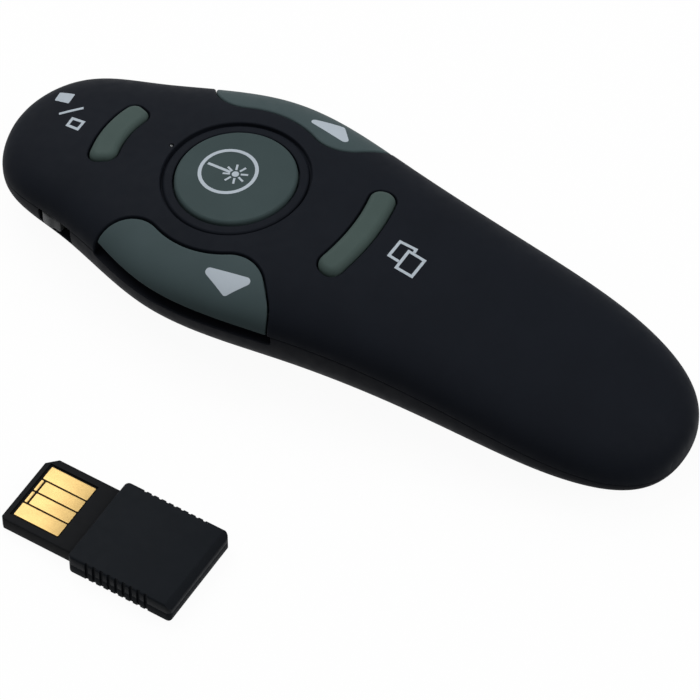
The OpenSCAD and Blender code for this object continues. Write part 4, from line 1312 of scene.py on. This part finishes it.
def moulded(name, color, rough, level, vary=0.08):
    """Moulded or painted plastic: cloudy colour and gloss, and a fine grain."""
    m = Nodes(name, specular_ior_level=level)
    cloud = m.noise(140.0, 4.0)
    m.link(m.tint(cloud, scaled(color, 1 - vary), scaled(color, 1 + vary)), m.shader.inputs["Base Color"])
    m.link(m.between(m.noise(700.0, 5.0), rough - 0.05, rough + 0.06), m.shader.inputs["Roughness"])
    m.bump(m.noise(9000.0, 2.0), 0.5, 0.000004)
    return m.material


def metal(name, color, rough, brushed=(1, 1, 1), scale=4000.0, vary=0.1):
    """Bare or plated metal with fine streaks and cloudy tarnish."""
    m = Nodes(name, metallic=1.0)
    cloud = m.noise(500.0, 5.0)
    m.link(m.tint(cloud, scaled(color, 1 - vary), color), m.shader.inputs["Base Color"])
    streak = m.noise(scale, 3.0, brushed)
    m.link(m.between(streak, rough - 0.08, rough + 0.12), m.shader.inputs["Roughness"])
    m.bump(streak, 0.3, 0.000003)
    return m.material


def circuit(name, color):
    """Solder mask with faint tracks under it."""
    m = Nodes(name, specular_ior_level=0.5, roughness=0.35)
    brick = m.add("ShaderNodeTexBrick")
    brick.inputs["Scale"].default_value = 420.0
    brick.inputs["Color1"].default_value = scaled(color, 0.8)
    brick.inputs["Color2"].default_value = scaled(color, 1.0)
    brick.inputs["Mortar"].default_value = scaled(color, 1.7)
    brick.inputs["Mortar Size"].default_value = 0.035
    m.link(m.coords, brick.inputs["Vector"])
    m.link(brick.outputs["Color"], m.shader.inputs["Base Color"])
    m.bump(brick.outputs["Fac"], 0.4, 0.00002)
    return m.material


def glassy(name, color):
    """Clear plastic, slightly cloudy."""
    m = Nodes(name, transmission_weight=0.9, ior=1.49)
    m.link(m.tint(m.noise(900.0), scaled(color, 0.94), color), m.shader.inputs["Base Color"])
    m.link(m.between(m.noise(2500.0), 0.08, 0.14), m.shader.inputs["Roughness"])
    return m.material


LOOKS = {
    "case_top": moulded("body_paint", srgb(23, 26, 32), 0.55, 0.03, vary=0.07),
    "case_bottom": moulded("body_paint_low", srgb(22, 24, 29), 0.55, 0.03, vary=0.07),
    "bezel": metal("bezel_metal", srgb(120, 124, 130), 0.35),
    "round_key": moulded("round_key_paint", srgb(60, 73, 74), 0.5, 0.04, vary=0.05),
    "page_key": moulded("page_key_paint", srgb(66, 79, 81), 0.5, 0.04, vary=0.05),
    "arc_key": moulded("arc_key_paint", srgb(70, 84, 81), 0.48, 0.04, vary=0.05),
    "knob": moulded("knob_plastic", srgb(104, 106, 108), 0.45, 0.1),
    "steel": metal("steel", srgb(186, 188, 190), 0.28),
    "clear": glassy("clear_plastic", srgb(118, 126, 134)),
    "led": moulded("led_epoxy", srgb(228, 226, 206), 0.25, 0.5),
    "board": circuit("circuit_board", srgb(24, 92, 62)),
    "ribbon": moulded("ribbon_film", srgb(206, 200, 184), 0.35, 0.5, vary=0.04),
    "black_plastic": moulded("black_plastic", srgb(34, 34, 36), 0.42, 0.4),
    "ivory": moulded("ivory_plastic", srgb(219, 213, 200), 0.45, 0.4, vary=0.03),
    "ceramic": moulded("ceramic", srgb(160, 134, 98), 0.4, 0.5),
    "copper": metal("copper", srgb(214, 138, 88), 0.32),
    "brass": metal("brass", srgb(206, 168, 100), 0.26, (1, 12, 12)),
    "wire": moulded("wire_jacket", srgb(158, 34, 28), 0.4, 0.4),
    "cell": moulded("cell_jacket", srgb(52, 84, 106), 0.3, 0.5, vary=0.05),
    "receiver": moulded("receiver_plastic", srgb(24, 27, 31), 0.5, 0.03, vary=0.06),
    "receiver_plug": moulded("plug_plastic", srgb(25, 26, 28), 0.5, 0.03, vary=0.06),
    "gold": metal("gold_plate", srgb(182, 154, 100), 0.38, (1, 20, 1), 6000.0, 0.12),
}
MARK = moulded("mark_print", srgb(178, 188, 197), 0.5, 0.1, vary=0.03)

# ---- Pieces ----

PIECES = [
    (upper_shell, "case", "top_shell"),
    (lower_shell, "case", "bottom_shell"),
    (battery_cover, "battery_cover", "battery_cover"),
    (bezel, "case", "laser_bezel"),
    (light_pipe, "case", "status_light_pipe"),
    (switch_knob, "power_switch", "power_switch_knob"),
    (laser_key, "laser_key", "laser_button"),
    (lambda: page_key("near_key", 0), "near_page_key", "near_page_button"),
    (lambda: page_key("far_key", 1), "far_page_key", "far_page_button"),
    (front_key, "black_screen_key", "black_screen_button"),
    (rear_key, "window_key", "window_button"),
    (lambda: receiver_shell("receiver_top", True), "receiver", "receiver_upper_shell"),
    (lambda: receiver_shell("receiver_base", False), "receiver", "receiver_lower_shell"),
    (receiver_plug, "receiver", "receiver_plug"),
    (receiver_contacts, "receiver", "receiver_contacts"),
]
slot_of = {s["node"]: s["material_slot"] for s in frame["record"]["subparts"]}
for make, body, node in PIECES:
    slot = slot_of[node]
    finished(make(), body, LOOKS[slot], (node,))
for name, body, (xy, faces), inset, mirror in marks():
    finished(thicken(name, xy, faces, inset, mirror), body, MARK)
replaced = {node for _, _, node in PIECES}
for node, obj in frame["nodes"].items():
    if node not in replaced:
        obj.data.materials.clear()
        obj.data.materials.append(LOOKS[slot_of[node]])

# ---- Floor, light and camera ----


def seen_by_eye(tree):
    """1 for camera, glossy and transmission rays, 0 for the light that falls on the object."""
    path = tree.nodes.new("ShaderNodeLightPath")
    found = path.outputs["Is Camera Ray"]
    for ray in ("Is Glossy Ray", "Is Transmission Ray"):
        most = tree.nodes.new("ShaderNodeMath")
        most.operation = "MAXIMUM"
        tree.links.new(found, most.inputs[0])
        tree.links.new(path.outputs[ray], most.inputs[1])
        found = most.outputs[0]
    return found


def diffuse(tree, grey):
    shader = tree.nodes.new("ShaderNodeBsdfDiffuse")
    shader.inputs["Color"].default_value = (grey, grey, grey, 1)
    return shader.outputs[0]


def backdrop(name, strength, grey):
    """White to the eye, keeping some of the object's shadow; a plain grey for other rays."""
    m = bpy.data.materials.new(name)
    m.use_nodes = True
    tree = m.node_tree
    tree.nodes.clear()
    glow = tree.nodes.new("ShaderNodeEmission")
    glow.inputs["Strength"].default_value = strength
    white = tree.nodes.new("ShaderNodeAddShader")
    mix = tree.nodes.new("ShaderNodeMixShader")
    out = tree.nodes.new("ShaderNodeOutputMaterial")
    for source, socket in (
        (glow.outputs[0], white.inputs[0]),
        (diffuse(tree, 1 - strength), white.inputs[1]),
        (seen_by_eye(tree), mix.inputs["Fac"]),
        (diffuse(tree, grey), mix.inputs[1]),
        (white.outputs[0], mix.inputs[2]),
        (mix.outputs[0], out.inputs["Surface"]),
    ):
        tree.links.new(source, socket)
    return m


FLOOR_HALF, FLOOR_Z = 3000.0, -0.03
corners = np.array([(-1, -1), (1, -1), (1, 1), (-1, 1)]) * FLOOR_HALF
floor = solid("floor", at_height(corners, FLOOR_Z), [(0, 1, 2, 3)])
floor.data.transform(Matrix.Scale(MM, 4))
floor.data.materials.append(backdrop("backdrop_white", 0.95, 0.18))

world = bpy.data.worlds.new("studio")
scene.world = world
world.use_nodes = True
tree = world.node_tree
tree.nodes.clear()
ambient = tree.nodes.new("ShaderNodeMapRange")
ambient.inputs["To Min"].default_value = 0.2
ambient.inputs["To Max"].default_value = 1.0
tree.links.new(seen_by_eye(tree), ambient.inputs["Value"])
sky = tree.nodes.new("ShaderNodeBackground")
tree.links.new(ambient.outputs["Result"], sky.inputs["Strength"])
end = tree.nodes.new("ShaderNodeOutputWorld")
tree.links.new(sky.outputs[0], end.inputs["Surface"])


def direction(azimuth, elevation):
    """Unit vector out to a light or the camera; azimuth 0 is the near side and 90 the tail."""
    a, e = math.radians(azimuth), math.radians(elevation)
    return Vector((math.sin(a) * math.cos(e), -math.cos(a) * math.cos(e), math.sin(e)))


def aimed(name, data, at, back):
    """Linked light or camera that looks against back."""
    obj = bpy.data.objects.new(name, data)
    obj.location = at
    obj.rotation_mode = "QUATERNION"
    obj.rotation_quaternion = back.to_track_quat("Z", "Y")
    scene.collection.objects.link(obj)
    return obj


# In metres
LIGHT_DISTANCE, LIGHT_SIZE = 0.9, 0.7


def softbox(name, azimuth, elevation, power):
    """Square area light aimed at the middle of the object."""
    light = bpy.data.lights.new(name, "AREA")
    light.shape = "SQUARE"
    light.size = LIGHT_SIZE
    light.energy = power
    back = direction(azimuth, elevation)
    aimed(name, light, back * LIGHT_DISTANCE, back)


softbox("key_light", -112, 52, 5.0)
softbox("fill_light", 110, 46, 3.2)
softbox("front_light", 10, 60, 0.8)

CAM_AZIMUTH, CAM_ELEVATION = 31.771, 51.035
# The distance in metres, the lens and its sensor in millimetres
CAM_DISTANCE, CAM_LENS, CAM_SENSOR = 0.68259, 257.14, 36.0
# How far right of and above the origin the camera looks, in metres
CAM_RIGHT, CAM_UP = 0.000668, -0.005863
back = direction(CAM_AZIMUTH, CAM_ELEVATION)
right = direction(CAM_AZIMUTH + 90, 0)
target = right * CAM_RIGHT + back.cross(right) * CAM_UP
camera_data = bpy.data.cameras.new("camera")
camera_data.lens = CAM_LENS
camera_data.sensor_width = CAM_SENSOR
camera_data.clip_start, camera_data.clip_end = 0.05, 50.0
scene.camera = aimed("camera", camera_data, back * CAM_DISTANCE, back * CAM_DISTANCE - target)
scene.view_settings.view_transform = "Standard"
